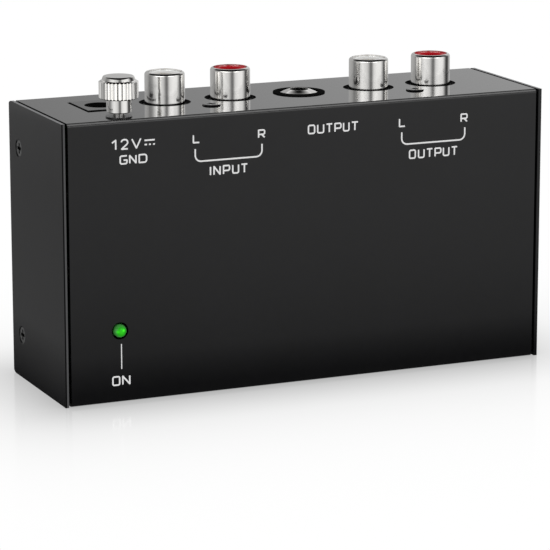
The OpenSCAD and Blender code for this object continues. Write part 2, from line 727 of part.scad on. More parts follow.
module power_spring() placed() color([0.85, 0.7, 0.35]) {
    spring_y = power_y + power_bore_d / 2 + spring_t / 2;
    translate([power_x - power_spring_w / 2, spring_y, power_spring_z + fit])
        cube([power_spring_w, spring_t, 5 - 2 * fit]);
    translate([power_x - pin_d / 2, spring_y, power_tail_z - tail_t / 2])
        cube([pin_d, board_back_y + lead_out - spring_y, tail_t]);
}

// ---------- ground terminal ----------

// outline of the knurl: straight flutes with sharp crests, by formula
function knurl_point(k) = let (a = 360 * k / (4 * flutes), q = k % 4,
    r = knurl_d / 2 - (q == 0 ? 0.06 : q == 2 ? flute_depth : 0.1 * flute_depth)) [r * cos(a), r * sin(a)];

// turned outline of the screw, from the washer's waist to the crown
module thumb_outline() {
    band_r = knurl_d / 2;
    polygon([[0, case_h], [waist_d / 2, case_h], [waist_d / 2, neck_low_z],
        [neck_d / 2 - 0.15, neck_low_z], [neck_d / 2, neck_low_z + 0.15],
        [neck_d / 2, band_low_z], [band_r - 0.35, band_low_z], [band_r, band_low_z + 0.3],
        [band_r, band_high_z - 0.05], [crown_d / 2, band_high_z + 0.33],
        [crown_top_d / 2, band_high_z + crown_h], [0, band_high_z + crown_h]]);
}

module ground_screw() placed() color([0.85, 0.85, 0.87]) translate([ground_x, ground_y, 0]) {
    intersection() {
        rotate_extrude($fn = 96) thumb_outline();
        union() {
            translate([0, 0, case_h]) cylinder(d = neck_d + eps, h = band_low_z - case_h + 0.2, $fn = 96);
            translate([0, 0, band_low_z]) linear_extrude(band_high_z + 0.3 - band_low_z)
                polygon([for (k = [0:4 * flutes - 1]) knurl_point(k)]);
            translate([0, 0, band_high_z]) cylinder(d = crown_d + 0.01, h = crown_h + over, $fn = 96);
        }
    }
    translate([0, 0, ground_shank_low_z])
        cylinder(d = ground_shank_d, h = case_h + eps - ground_shank_low_z);
}

module ground_washer() placed() color([0.06, 0.06, 0.06]) {
    translate([ground_x, ground_y, washer_low_z]) difference() {
        cylinder(d = washer_d, h = washer_t);
        translate([0, 0, -over]) cylinder(d = waist_d + 2 * fit, h = washer_t + 2 * over);
    }
}

module ground_nut() placed() color([0.8, 0.68, 0.35]) {
    translate([ground_x, ground_y, nut_low_z]) difference() {
        cylinder(d = ground_nut_d, h = ground_nut_h);
        translate([0, 0, -over]) cylinder(d = ground_shank_d + 2 * fit, h = ground_nut_h + 2 * over);
    }
}

// the solder tag between nut and panel, with its tail bent down
module ground_tag() placed() color([0.75, 0.75, 0.77]) {
    translate([ground_x, ground_y, panel_in_z - tag_t]) difference() {
        union() {
            cylinder(d = ground_nut_d + 0.4, h = tag_t);
            translate([0, -tag_w / 2, 0]) cube([tag_reach + tag_t, tag_w, tag_t]);
            translate([tag_reach, -tag_w / 2, -tag_drop]) cube([tag_t, tag_w, tag_drop + tag_t]);
        }
        translate([0, 0, -over]) cylinder(d = ground_shank_d + 2 * loose, h = tag_t + 2 * over);
    }
}

// the wire from the tag's tail down and back to the board
module ground_wire() placed() color([0.1, 0.45, 0.15]) translate([wire_x, ground_y, wire_z]) {
    translate([0, 0, wire_bend]) cylinder(d = wire_d, h = panel_in_z - tag_drop + wire_lap - wire_z - wire_bend);
    translate([0, wire_bend, wire_bend]) rotate([0, 90, 0]) rotate([0, 0, -90])
        rotate_extrude(angle = 90) translate([wire_bend, 0]) circle(d = wire_d);
    translate([0, wire_bend, 0]) rod_y(wire_d, board_back_y + lead_out - ground_y - wire_bend);
}

// ---------- lamp ----------

module lamp_lens() placed() color([0.1, 0.75, 0.15]) {
    translate([lamp_x, lamp_back_y, lamp_z]) rotate([90, 0, 0]) {
        cylinder(d = lamp_flange_d, h = lamp_flange_t);
        cylinder(d = lamp_d, h = lamp_flange_t + lamp_l - lamp_d / 2);
        translate([0, 0, lamp_flange_t + lamp_l - lamp_d / 2]) rotate_extrude() intersection() {
            circle(d = lamp_d);
            square(lamp_d);
        }
    }
}

module lamp_leads() placed() color([0.8, 0.8, 0.82]) {
    for (s = sides) translate([lamp_x + s * lamp_pitch, lamp_back_y, lamp_z])
        rod_y(lead_d, board_back_y + lead_out - lamp_back_y);
}

module lamp_spacer() placed() color([0.07, 0.07, 0.07]) {
    translate([lamp_x, lamp_back_y, lamp_z]) difference() {
        rod_y(spacer_d, board_y - lamp_back_y);
        for (s = sides) translate([s * lamp_pitch, -over, 0])
            rod_y(lead_d + 2 * fit, board_y - lamp_back_y + 2 * over);
    }
}

// ---------- parts on the board ----------

// cans in their sleeves, with the groove near the base, and their leads
module electrolytic_capacitors() placed() color([0.08, 0.1, 0.3]) for (p = can_places) {
    r = p[2] / 2;
    groove = 0.35;
    on_board(p) rotate_extrude() difference() {
        square([r, p[3]]);
        translate([r + 0.2, 1.8]) circle(groove + 0.2);
        translate([0, p[3] - 0.4]) square([r - 0.5, 1]);
    }
    for (q = pair(p, p[2] * 0.4)) board_lead(q, lead_in);
}

// bare aluminium tops with the pressure score
module capacitor_tops() placed() color([0.75, 0.75, 0.77]) for (p = can_places) on_board(p) {
    r = p[2] / 2 - 0.5 - fit;
    translate([0, 0, p[3] - 0.4]) difference() {
        cylinder(r = r, h = 0.3);
        for (a = [0, 90]) rotate(a) translate([-r, -0.15, 0.2]) cube([2 * r, 0.3, 1]);
    }
}

module film_capacitors() placed() color([0.7, 0.1, 0.08]) for (p = film_places) {
    on_board(p) translate([-film_size[0] / 2, film_size[1] / 2, 0]) rotate([90, 0, 0])
        linear_extrude(film_size[1]) round_rect([film_size[0], film_size[2]], film_corner);
    for (q = pair(p, film_pitch)) board_lead(q, lead_in + film_corner);
}

module amplifier_chips() placed() color([0.07, 0.07, 0.08]) for (p = chip_places) on_board(p) {
    difference() {
        translate([-chip_size[0] / 2, -chip_size[1] / 2, chip_stand]) cube(chip_size);
        translate([-chip_size[0] / 2, 0, chip_stand + chip_size[2] - 0.3]) cylinder(d = 1.6, h = over);
    }
}

// legs of the chips: a flat shoulder from the body and a pin down through the board
module chip_pins() placed() color([0.8, 0.8, 0.82]) for (p = chip_places) on_board(p) {
    reach = (chip_span - chip_size[1]) / 2;
    shoulder_h = chip_stand + chip_size[2] * 0.4;
    for (k = [-1.5:1:1.5]) for (s = [0, 1]) rotate(s * 180) translate([k * chip_pitch, chip_span / 2, 0]) {
        translate([-leg_w / 2, -reach, shoulder_h - leg_t]) cube([leg_w, reach, leg_t]);
        translate([-leg_w / 2, -leg_t, chip_stand]) cube([leg_w, 2 * leg_t, shoulder_h - chip_stand]);
        translate([0, 0, -board_t - lead_out]) cylinder(d = lead_d, h = board_t + lead_out + 1);
    }
}

// a small three-legged regulator with one flat side
module voltage_regulator() placed() color([0.08, 0.08, 0.08]) {
    on_board(regulator_place) translate([0, 0, regulator_stand]) linear_extrude(regulator_h) difference() {
        circle(d = regulator_d);
        translate([-regulator_d, -regulator_d - regulator_flat]) square([2 * regulator_d, regulator_d]);
    }
    for (q = regulator_legs) board_lead(q, regulator_stand + lead_in);
}

// resistors lying above the board: a body with thicker ends, turned with its lead, then bent down
module resistors() placed() color([0.75, 0.62, 0.42]) for (p = resistor_places) {
    r = resistor_d / 2;
    half = resistor_l / 2;
    lead_r = lead_d / 2 - 0.04;
    height = r + 0.5;
    on_board(p) translate([0, 0, height]) rotate([0, 90, 0]) rotate_extrude()
        polygon([[0, -resistor_span / 2], [lead_r, -resistor_span / 2], [lead_r, -half], [r + 0.2, -half],
            [r + 0.2, 1 - half], [r, 1.2 - half], [r, half - 1.2], [r + 0.2, half - 1], [r + 0.2, half],
            [lead_r, half], [lead_r, resistor_span / 2], [0, resistor_span / 2]]);
    for (q = pair(p, resistor_span)) board_lead(q, height + lead_d / 2 + 0.1);
}

cover_shell();
base_shell();
case_screws();
rubber_feet();
circuit_board();
board_standoffs();
board_screws();
input_block();
input_shell_left();
input_shell_right();
input_insulator_left();
input_insulator_right();
input_contacts();
output_block();
output_shell_left();
output_shell_right();
output_insulator_left();
output_insulator_right();
output_contacts();
panel_screws();
phone_body();
phone_bush();
phone_ring_nut();
phone_springs();
power_body();
power_pin();
power_spring();
ground_screw();
ground_washer();
ground_nut();
ground_tag();
ground_wire();
lamp_lens();
lamp_leads();
lamp_spacer();
electrolytic_capacitors();
capacitor_tops();
film_capacitors();
amplifier_chips();
chip_pins();
voltage_regulator();
resistors();
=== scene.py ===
"""Phono preamp: dresses the frame of the part and sets the studio round it.

Lengths are in metres. The part stands on its plain long edge: sockets up (+Z), label face
towards -Y, back plate with the feet towards +Y.
"""

import json
import math

import bmesh
import bpy
from mathutils import Matrix, Vector


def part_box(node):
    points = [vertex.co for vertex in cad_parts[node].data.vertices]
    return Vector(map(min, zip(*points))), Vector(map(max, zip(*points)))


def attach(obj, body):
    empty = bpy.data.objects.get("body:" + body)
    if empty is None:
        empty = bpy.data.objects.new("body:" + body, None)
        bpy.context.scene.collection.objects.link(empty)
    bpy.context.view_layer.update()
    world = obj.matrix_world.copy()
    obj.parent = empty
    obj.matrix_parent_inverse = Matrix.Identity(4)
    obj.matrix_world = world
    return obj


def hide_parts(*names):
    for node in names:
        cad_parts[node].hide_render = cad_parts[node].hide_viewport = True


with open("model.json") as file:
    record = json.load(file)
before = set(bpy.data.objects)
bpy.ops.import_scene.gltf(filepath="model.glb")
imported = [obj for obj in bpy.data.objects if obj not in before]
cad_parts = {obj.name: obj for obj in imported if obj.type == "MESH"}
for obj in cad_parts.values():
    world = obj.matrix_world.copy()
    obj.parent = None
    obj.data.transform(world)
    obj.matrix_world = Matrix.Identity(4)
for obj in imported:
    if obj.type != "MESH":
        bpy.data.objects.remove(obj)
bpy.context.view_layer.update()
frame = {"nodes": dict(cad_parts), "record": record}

bl_info = {
    "name": "Phono Preamp",
    "version": (1, 0, 0),
    "blender": (4, 5, 0),
    "location": "View3D > Sidebar > Preamp",
    "description": "Dresses the phono preamp's frame and sets the studio round it",
    "category": "Object",
}

MM = 0.001
BODY_OF = {
    node: body
    for body, nodes in frame["record"]["behaviour"]["bodies"].items()
    for node in nodes
}
FACE_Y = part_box("cover_shell")[0].y  # plane of the label face
PANEL_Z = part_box("cover_shell")[1].z  # plane of the socket panel
LEFT_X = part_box("base_shell")[0].x  # outside of the left end plate
UP = (0, 0, 1)

# where the camera stands, in metres, and how it is turned, in degrees
CAMERA_PLACE = (-0.249711, -0.570487, 0.161117)
CAMERA_TURN = -23.6146
CAMERA_DOWN = 12.8715
CAMERA_ROLL = -0.0424

# colours of bare metals and black resins
BRASS = (0.62, 0.43, 0.16)
TIN = (0.66, 0.66, 0.64)
STEEL = (0.6, 0.6, 0.58)
BLACK_RESIN = (0.012, 0.012, 0.013)


# ---------- sizes and colours that a user may change ----------


class PreampCase(bpy.types.PropertyGroup):
    """Enamel, cut edges and printed legends of the case."""

    enamel: bpy.props.FloatVectorProperty(
        name="Enamel",
        description="Black enamel of both steel shells",
        subtype="COLOR",
        min=0,
        max=1,
        default=(0.0052, 0.0052, 0.0056),
    )
    # painted highlight: the cut edges' paler colour stands for the light they catch
    edge_highlight: bpy.props.FloatVectorProperty(
        name="Cut edge",
        description="Thin enamel on the cut edges of the end plates",
        subtype="COLOR",
        min=0,
        max=1,
        default=(0.085, 0.085, 0.087),
    )
    ink: bpy.props.FloatVectorProperty(
        name="Ink",
        description="Printed legends",
        subtype="COLOR",
        min=0,
        max=1,
        default=(0.86, 0.86, 0.86),
    )
    stroke: bpy.props.FloatProperty(
        name="Stroke",
        description="Width of the legends' strokes",
        unit="LENGTH",
        precision=5,
        min=0.0001,
        max=0.0006,
        default=0.00034,
    )
    # painted highlight: the pale line stands for the lamp's reflection along the bend
    pale: bpy.props.FloatVectorProperty(
        name="Pale line",
        description="Enamel along the bend, where it lies thin",
        subtype="COLOR",
        min=0,
        max=1,
        default=(0.16, 0.16, 0.16),
    )
    pale_low: bpy.props.FloatProperty(
        name="Pale line, low edge",
        description="Depth of the pale line's low edge under the panel",
        unit="LENGTH",
        precision=5,
        min=0.0002,
        max=0.0008,
        default=0.00042,
    )
    pale_high: bpy.props.FloatProperty(
        name="Pale line, high edge",
        description="Depth of the pale line's high edge under the panel",
        unit="LENGTH",
        precision=5,
        min=0.00005,
        max=0.0004,
        default=0.00014,
    )
    eased_edge: bpy.props.FloatProperty(
        name="Eased edge",
        description="Rounding of the sheet's cut edges",
        unit="LENGTH",
        precision=5,
        min=0.00002,
        max=0.0003,
        default=0.0001,
    )


class PreampSockets(bpy.types.PropertyGroup):
    """Colours of the sockets, the terminal and the lamp."""

    plating: bpy.props.FloatVectorProperty(
        name="Plating",
        description="Bright plating of the shells and the thumb screw",
        subtype="COLOR",
        min=0,
        max=1,
        default=(0.82, 0.81, 0.79),
    )
    right_channel: bpy.props.FloatVectorProperty(
        name="Right channel",
        description="Insulators of the right channel",
        subtype="COLOR",
        min=0,
        max=1,
        default=(0.40, 0.008, 0.014),
    )
    left_channel: bpy.props.FloatVectorProperty(
        name="Left channel",
        description="Insulators of the left channel",
        subtype="COLOR",
        min=0,
        max=1,
        default=(0.70, 0.70, 0.69),
    )
    lamp: bpy.props.FloatVectorProperty(
        name="Lamp",
        description="Lit lens of the lamp",
        subtype="COLOR",
        min=0,
        max=1,
        default=(0.008, 0.32, 0.005),
    )


class PreampStudio(bpy.types.PropertyGroup):
    """Camera, surround and floor."""

    focal_length: bpy.props.FloatProperty(
        name="Focal length",
        description="Focal length of the camera, in millimetres",
        subtype="DISTANCE_CAMERA",
        min=50,
        max=400,
        default=200,
    )
    fill: bpy.props.FloatProperty(
        name="Fill",
        description="Strength of the soft light from all sides",
        min=0,
        max=2,
        default=0.95,
    )
    front_lamp: bpy.props.FloatProperty(
        name="Front lamp",
        description="Brightness of the soft lamp behind the camera in reflections",
        min=0,
        max=10,
        default=3.0,
    )
    twice: bpy.props.FloatProperty(
        name="Second mirroring",
        description="How much brighter the studio is in what is mirrored twice",
        min=0,
        max=3,
        default=1.0,
    )
    mirror: bpy.props.FloatProperty(
        name="Floor gloss",
        description="How much the floor mirrors the foot of the case",
        subtype="FACTOR",
        min=0,
        max=1,
        default=0.42,
    )


# ---------- nodes and finishes ----------


def add(tree, kind, inputs=None, **settings):
    """Adds a shader node; an input is a value or the socket that feeds it."""
    made = tree.nodes.new(kind)
    for name, value in settings.items():
        setattr(made, name, value)
    for name, value in (inputs or {}).items():
        if isinstance(value, bpy.types.NodeSocket):
            tree.links.new(value, made.inputs[name])
        else:
            made.inputs[name].default_value = value
    return made


def calc(tree, operation, first, second=0.0, third=0.0, clamp=False):
    """Result of a maths node."""
    inputs = {0: first, 1: second, 2: third}
    return add(tree, "ShaderNodeMath", inputs, operation=operation, use_clamp=clamp).outputs[0]


def remap(tree, value, low, high, to_low=0.0, to_high=1.0, kind="SMOOTHSTEP"):
    """A value taken smoothly from one range to another."""
    inputs = {
        "Value": value, "From Min": low, "From Max": high, "To Min": to_low, "To Max": to_high,
    }
    return add(tree, "ShaderNodeMapRange", inputs, interpolation_type=kind).outputs["Result"]


def blend_colours(tree, share, first, second):
    """Colour between two colours."""
    inputs = {0: share, 6: first, 7: second}
    return add(tree, "ShaderNodeMix", inputs, data_type="RGBA").outputs[2]


def vector(tree, operation, first, second=(0, 0, 0), output=0):
    """Result of a vector maths node."""
    inputs = {0: first, 1: second}
    return add(tree, "ShaderNodeVectorMath", inputs, operation=operation).outputs[output]


def over(tree, share, first, second):
    """The first surface where share is 0, the second where it is 1."""
    inputs = {0: share, 1: first.outputs[0], 2: second.outputs[0]}
    return add(tree, "ShaderNodeMixShader", inputs)


def scaled(colour, factor):
    """A colour made lighter or darker, with alpha."""
    return (*(min(1.0, part * factor) for part in colour[:3]), 1.0)


def own_place(tree):
    """A point's place on its object."""
    return add(tree, "ShaderNodeTexCoord").outputs["Object"]


def recoloured(tree, share, colour):
    """Blends another colour into a finish's own where share is 1."""
    base = tree.nodes["Principled BSDF"].inputs["Base Color"]
    tree.links.new(blend_colours(tree, share, base.links[0].from_socket, colour), base)


# range of a finish's mixed patterns
PATTERN = (0.3, 0.9)


def finish(
    name,
    colour,
    rough,
    metal=0.0,
    tone=0.1,
    grain=900.0,
    stretch=(1, 1, 1),
    relief=2e-6,
    blotch=90.0,
    **sockets,
):
    """A finish with uneven tone and gloss and a fine relief, on object coordinates: rough is
    its least and most roughness, tone its change of colour, grain and blotch the scales of
    its fine and broad patterns, relief the height of its bumps. The rest are the shader's."""
    made = bpy.data.materials.new(name)
    made.use_nodes = True
    tree = made.node_tree
    shader = tree.nodes["Principled BSDF"]
    spot = own_place(tree)
    drawn = add(tree, "ShaderNodeMapping", {"Vector": spot, "Scale": stretch})
    fine = {"Vector": drawn.outputs[0], "Scale": grain, "Detail": 4.0}
    fine = add(tree, "ShaderNodeTexNoise", fine)
    broad = {"Vector": spot, "Scale": blotch, "Detail": 2.0}
    broad = add(tree, "ShaderNodeTexNoise", broad)
    mixed = calc(tree, "MULTIPLY_ADD", broad.outputs["Fac"], 0.5, 0.25)
    mixed = calc(tree, "MULTIPLY_ADD", fine.outputs["Fac"], 0.5, mixed)
    share = remap(tree, mixed, *PATTERN, kind="LINEAR")
    tint = blend_colours(tree, share, scaled(colour, 1 - tone), scaled(colour, 1 + tone))
    tree.links.new(tint, shader.inputs["Base Color"])
    gloss = remap(tree, mixed, *PATTERN, *rough, kind="LINEAR")
    tree.links.new(gloss, shader.inputs["Roughness"])
    bump = add(tree, "ShaderNodeBump", {"Height": fine.outputs["Fac"], "Distance": relief})
    tree.links.new(bump.outputs[0], shader.inputs["Normal"])
    shader.inputs["Metallic"].default_value = metal
    for socket, value in sockets.items():
        shader.inputs[socket.replace("_", " ")].default_value = value
    return made


def enamel(name, colour, rough=(0.07, 0.11), **sockets):
    """Gloss enamel with a faint orange peel and dust-fine specks."""
    return finish(name, colour, rough, tone=0.25, grain=650.0, relief=1.2e-6, **sockets)


def plating(name, colour, rough=(0.04, 0.07), rings=1.0):
    """Bright plating over turned metal, with fine rings round the axis; rings is their depth."""
    return finish(
        name, colour, rough, metal=1.0, tone=0.03, grain=500.0, stretch=(0.15, 0.15, 14.0),
        relief=4e-7 * rings,
    )


def moulded(name, colour, rough=(0.38, 0.48), relief=4e-6, **sockets):
    """Moulded plastic with a fine spark-eroded texture."""
    return finish(name, colour, rough, tone=0.12, grain=4200.0, relief=relief, **sockets)


# ---------- pieces ----------


def place(mesh, name, finishes, node):
    """Puts a mesh in the scene as a piece that stands for a node and rides on its body."""
    mesh.name = name
    for one in finishes:
        mesh.materials.append(one)
    made = bpy.data.objects.new(name, mesh)
    bpy.context.scene.collection.objects.link(made)
    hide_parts(node)
    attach(made, BODY_OF[node])
    return made


def bevel(form, geom, offset, segments, affect="VERTICES"):
    """Rounds corners or edges."""
    bmesh.ops.bevel(
        form,
        geom=geom,
        offset=offset,
        offset_type="OFFSET",
        segments=segments,
        profile=0.5,
        affect=affect,
        clamp_overlap=affect == "EDGES",
        material=-1,
    )


# vertices of a solid's skin that are nearer than this are one, in metres, and its faces that
# meet at less than this are flat, in degrees
DOUBLES = 2e-7
FLAT = 0.4


def merged_form(node):
    """A node's solid as one skin: doubles merged, flat faces whole."""
    form = bmesh.new()
    form.from_mesh(frame["nodes"][node].data)
    bmesh.ops.remove_doubles(form, verts=form.verts, dist=DOUBLES)
    bmesh.ops.dissolve_limit(
        form,
        angle_limit=math.radians(FLAT),
        use_dissolve_boundaries=False,
        verts=form.verts,
        edges=form.edges,
    )
    return form


def skin(form, angle):
    """Writes a form to a mesh: smooth faces, sharp where they meet past an angle."""
    mesh = bpy.data.meshes.new("piece")
    for face in form.faces:
        face.smooth = True
    form.to_mesh(mesh)
    form.free()
    for stale in ("custom_normal", "sharp_face"):
        if stale in mesh.attributes:
            mesh.attributes.remove(mesh.attributes[stale])
    mesh.set_sharp_from_angle(angle=math.radians(angle))
    return mesh


def even_shading(made):
    """Large flat faces stay flat in reflections next to their bends."""
    weighted = made.modifiers.new("even_shading", "WEIGHTED_NORMAL")
    weighted.keep_sharp = True
    weighted.weight = 80


def dressed(node, name, finishes, angle=30.0, ease=0.0, choose=None, eased=None):
    """A merged copy of a node in its finishes, which takes the node's place: ease rounds the
    edges that eased picks, and choose gives each face the number of its finish."""
    form = merged_form(node)
    if ease:
        bevel(form, [edge for edge in form.edges if (eased or is_sharp)(edge)], ease, 3, "EDGES")
    if choose:
        form.normal_update()
        for face in form.faces:
            face.material_index = choose(face)
    even_shading(place(skin(form, angle), name, finishes, node))


def is_sharp(edge):
    """True on an edge whose faces meet at more than 60 degrees."""
    return len(edge.link_faces) == 2 and edge.calc_face_angle() > math.radians(60)


def coated(node, coat):
    """A node whose shape stays as it is, in a better finish."""
    solid = frame["nodes"][node]
    solid.data.materials.clear()
    solid.data.materials.append(coat)


def spun_form(outline, centre, rounded, steps, axis):
    """A turned form: a closed outline of (radius, height) in millimetres goes once round an
    axis through centre. rounded lists its rounded corners as (index, radius)."""
    form = bmesh.new()
    corners = [form.verts.new((radius * MM, 0, height * MM)) for radius, height in outline]
    for first, second in zip(corners, corners[1:] + corners[:1]):
        form.edges.new((first, second))
    for index, radius in rounded:
        bevel(form, [corners[index]], radius * MM, 6)
    bmesh.ops.spin(
        form,
        geom=form.verts[:] + form.edges[:],
        cent=(0, 0, 0),
        axis=UP,
        dvec=(0, 0, 0),
        angle=2 * math.pi,
        steps=steps,
        use_merge=True,
    )
    bmesh.ops.remove_doubles(form, verts=form.verts, dist=1e-7)
    bmesh.ops.recalc_face_normals(form, faces=form.faces)
    turn = Vector(UP).rotation_difference(Vector(axis)).to_matrix()
    bmesh.ops.rotate(form, cent=(0, 0, 0), matrix=turn, verts=form.verts)
    bmesh.ops.translate(form, vec=centre, verts=form.verts)
    return form


def turned(
    node, name, finishes, outline, centre, rounded=(), steps=96, axis=UP, angle=40.0,
    choose=None,
):
    """A turned piece that takes a node's place; choose is as in dressed."""
    form = spun_form(outline, centre, rounded, steps, axis)
    if choose:
        for face in form.faces:
            face.material_index = choose(face)
    place(skin(form, angle), name, finishes, node)


# ---------- legends: an own plain stroke lettering ----------

# strokes of each sign in a cell one wide and one high; a third number is that corner's own
# rounding, as a multiple of the stroke
STROKES = {
    "1": [[(0, 0.72), (0.8, 1), (0.8, 0)]],
    "2": [[(0, 0.74), (0, 1, 1.7), (1, 1, 1.7), (1, 0.56, 1.2), (0, 0, 0.2), (1, 0)]],
    "D": [[(0.5, 1), (0, 1, 0.2), (0, 0, 0.2), (1, 0, 1.4), (1, 1, 1.4), (0.5, 1)]],
    "G": [[(1, 1), (0, 1), (0, 0), (1, 0), (1, 0.46, 0.2), (0.5, 0.46)]],
    "I": [[(0.5, 1), (0.5, 0)]],
    "L": [[(0, 1), (0, 0, 0.2), (1, 0)]],
    "N": [[(0, 0), (0, 1), (1, 0), (1, 1)]],
    "O": [[(0.5, 1), (0, 1), (0, 0), (1, 0), (1, 1), (0.5, 1)]],
    "P": [[(0, 0), (0, 1, 0.2), (1, 1), (1, 0.4), (0, 0.4)]],
    "R": [[(0, 0), (0, 1, 0.2), (1, 1), (1, 0.42), (0, 0.42)], [(0.5, 0.42), (1, 0)]],
    "T": [[(0, 1), (1, 1)], [(0.5, 1), (0.5, 0)]],
    "U": [[(0, 1), (0, 0), (1, 0), (1, 1)]],
    "V": [[(0, 1), (0.5, 0), (1, 1)]],
    "[": [[(0, 1), (0, 0), (1, 0), (1, 1)]],
    "-": [[(0, 0.5), (1, 0.5)]],
    "|": [[(0.5, 1), (0.5, 0)]],
}
# rounding of a sign's other corners; pointed signs stay pointed
ROUNDING = {"N": 0.2, "V": 0.2, "1": 0.2, "[": 3.6}
PLAIN_ROUNDING = 0.95
# stroke of the lamp's leader line as a share of the letters', and an ink stroke's height as a
# share of its width
LEADER_STROKE = 0.65
INK_HEIGHT = 0.12

# sign, left, right, bottom, top: millimetres from the left end plate and the plain edge
LEGENDS = {
    "legend_power": [
        ("1", 10.3, 11.62, 51.25, 53.45),
        ("2", 12.3, 13.95, 51.25, 53.45),
        ("V", 14.5, 16.7, 51.25, 53.45),
        ("-", 17.15, 19.65, 52.65, 52.99),
        ("-", 17.15, 18.02, 51.8, 52.14),
        ("-", 18.1, 18.83, 51.8, 52.14),
        ("-", 18.95, 19.68, 51.8, 52.14),
        ("G", 12.0, 13.75, 48.3, 50.2),
        ("N", 14.0, 15.65, 48.3, 50.2),
        ("D", 16.0, 17.9, 48.3, 50.2),
    ],
    "legend_input": [
        ("L", 27.55, 29.15, 51.4, 53.25),
        ("R", 41.65, 43.3, 51.4, 53.25),
        ("[", 27.93, 42.72, 47.56, 50.45),
        ("I", 31.18, 31.52, 44.6, 46.6),
        ("N", 31.95, 33.6, 44.6, 46.6),
        ("P", 34.0, 35.65, 44.6, 46.6),
        ("U", 36.0, 37.6, 44.6, 46.6),
        ("T", 37.9, 39.5, 44.6, 46.6),
    ],
    "legend_phone": [
        ("O", 52.6, 54.3, 51.4, 53.4),
        ("U", 54.65, 56.3, 51.4, 53.4),
        ("T", 56.6, 58.2, 51.4, 53.4),
        ("P", 58.5, 60.15, 51.4, 53.4),
        ("U", 60.4, 61.95, 51.4, 53.4),
        ("T", 62.25, 63.95, 51.4, 53.4),
    ],
    "legend_output": [
        ("L", 73.0, 74.55, 51.4, 53.3),
        ("R", 87.1, 88.8, 51.4, 53.3),
        ("[", 73.53, 88.32, 47.63, 50.5),
        ("O", 75.35, 77.0, 44.6, 46.6),
        ("U", 77.4, 79.0, 44.6, 46.6),
        ("T", 79.3, 80.9, 44.6, 46.6),
        ("P", 81.2, 82.85, 44.6, 46.6),
        ("U", 83.1, 84.7, 44.6, 46.6),
        ("T", 85.0, 86.6, 44.6, 46.6),
    ],
    "legend_line": [("|", 11.84, 12.06, 6.75, 12.1)],
    "legend_lamp": [
        ("O", 9.87, 11.65, 3.45, 5.5),
        ("N", 11.98, 13.8, 3.45, 5.5),
    ],
}


def stroke_lines(signs, stroke):
    """Middle lines of a legend's strokes as wire edges, corners rounded."""
    form = bmesh.new()
    half = stroke / 2
    for sign, left, right, low, high in signs:
        x_span = ((right - left) * MM - stroke, LEFT_X + left * MM + half)
        z_span = ((high - low) * MM - stroke, low * MM + half)
        for line in STROKES[sign]:
            points = [
                form.verts.new((u * x_span[0] + x_span[1], 0, v * z_span[0] + z_span[1]))
                for u, v, *_ in line
            ]
            for pair in zip(points, points[1:]):
                form.edges.new(pair)
            for point, (_, _, *own) in list(zip(points, line))[1:-1]:
                rounding = own[0] if own else ROUNDING.get(sign, PLAIN_ROUNDING)
                bevel(form, [point], rounding * stroke, 5)
    return form


def printed(name, signs, ink, stroke):
    """A legend in raised ink: round strokes pressed almost flat on the label face."""
    form = stroke_lines(signs, stroke)
    mesh = bpy.data.meshes.new(name)
    form.to_mesh(mesh)
    form.free()
    made = bpy.data.objects.new(name, mesh)
    bpy.context.scene.collection.objects.link(made)
    bpy.ops.object.select_all(action="DESELECT")
    bpy.context.view_layer.objects.active = made
    made.select_set(True)
    bpy.ops.object.convert(target="CURVE")
    made.data.bevel_depth = stroke / 2
    made.data.bevel_resolution = 2
    made.data.use_fill_caps = True
    bpy.ops.object.convert(target="MESH")
    form = bmesh.new()
    form.from_mesh(made.data)
    bmesh.ops.scale(form, vec=(1, INK_HEIGHT, 1), verts=form.verts)
    bmesh.ops.translate(form, vec=(0, FACE_Y, 0), verts=form.verts)
    bmesh.ops.recalc_face_normals(form, faces=form.faces)
    for face in form.faces:
        face.smooth = True
    form.to_mesh(made.data)
    form.free()
    made.data.materials.clear()
    made.data.materials.append(ink)
    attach(made, "case")


# ---------- operators ----------


# brightness of the mirrored studio's walls by bearing in degrees: 0 is on the camera's side,
# 90 on the camera's right hand, 180 beyond the object
WALLS = [
    (-180, 0.585),
    (-174.5, 0.43),
    (-150, 0.44),
    (-135, 0.46),
    (-110, 0.40),
    (-94, 0.24),
    (-80, 0.30),
    (-70, 0.42),
    (-60, 0.70),
    (-38, 0.94),
    (-15, 0.78),
    (-4, 0.62),
    (6, 0.27),
    (13, 0.13),
    (19, 0.24),
    (30, 0.80),
    (50, 1.0),
    (74, 0.98),
    (86, 0.60),
    (97, 0.16),
    (110, 0.02),
    (121, 0.10),
    (136, 0.46),
    (155, 0.60),
    (174.5, 0.70),
    (180, 0.585),
]
# and of the arch over the object by pitch: 0 is level on the camera's side, 90 overhead,
# 180 level beyond the object
ARCH = [
    (-180, 0.42),
    (0, 0.9),
    (30, 0.9),
    (33, 0.0),
    (130, 0.0),
    (138, 0.40),
    (146, 0.85),
    (150, 0.90),
    (165, 0.55),
    (180, 0.45),
]
# rise of a mirrored ray, the sine of its slope, over which the arch takes over from the walls
ARCH_FROM = (0.50, 0.56)
# rise over which the lamp behind the camera comes and goes, and how far a ray has to point
# to the camera's side for it
LAMP_FOOT = (0.18, 0.26)
LAMP_TOP = (0.38, 0.46)
LAMP_SIDE = (0.45, 0.75)

# the floor: half its side, the reach and least level of the soft shadow under the case, the
# depth of its specks, the roughness of its gloss and the distance over which that fades
FLOOR_HALF = 6
SHADOW_REACH = 0.02
SHADOW_LEVEL = 0.62
SPECKS = 0.004
FLOOR_ROUGH = 0.12
GLOSS_FADE = 0.018
# levels of the floor in the object's mirrorings, where it is dark, and in light it throws back
MIRRORED_FLOOR = 0.03
THROWN_BACK = 0.7
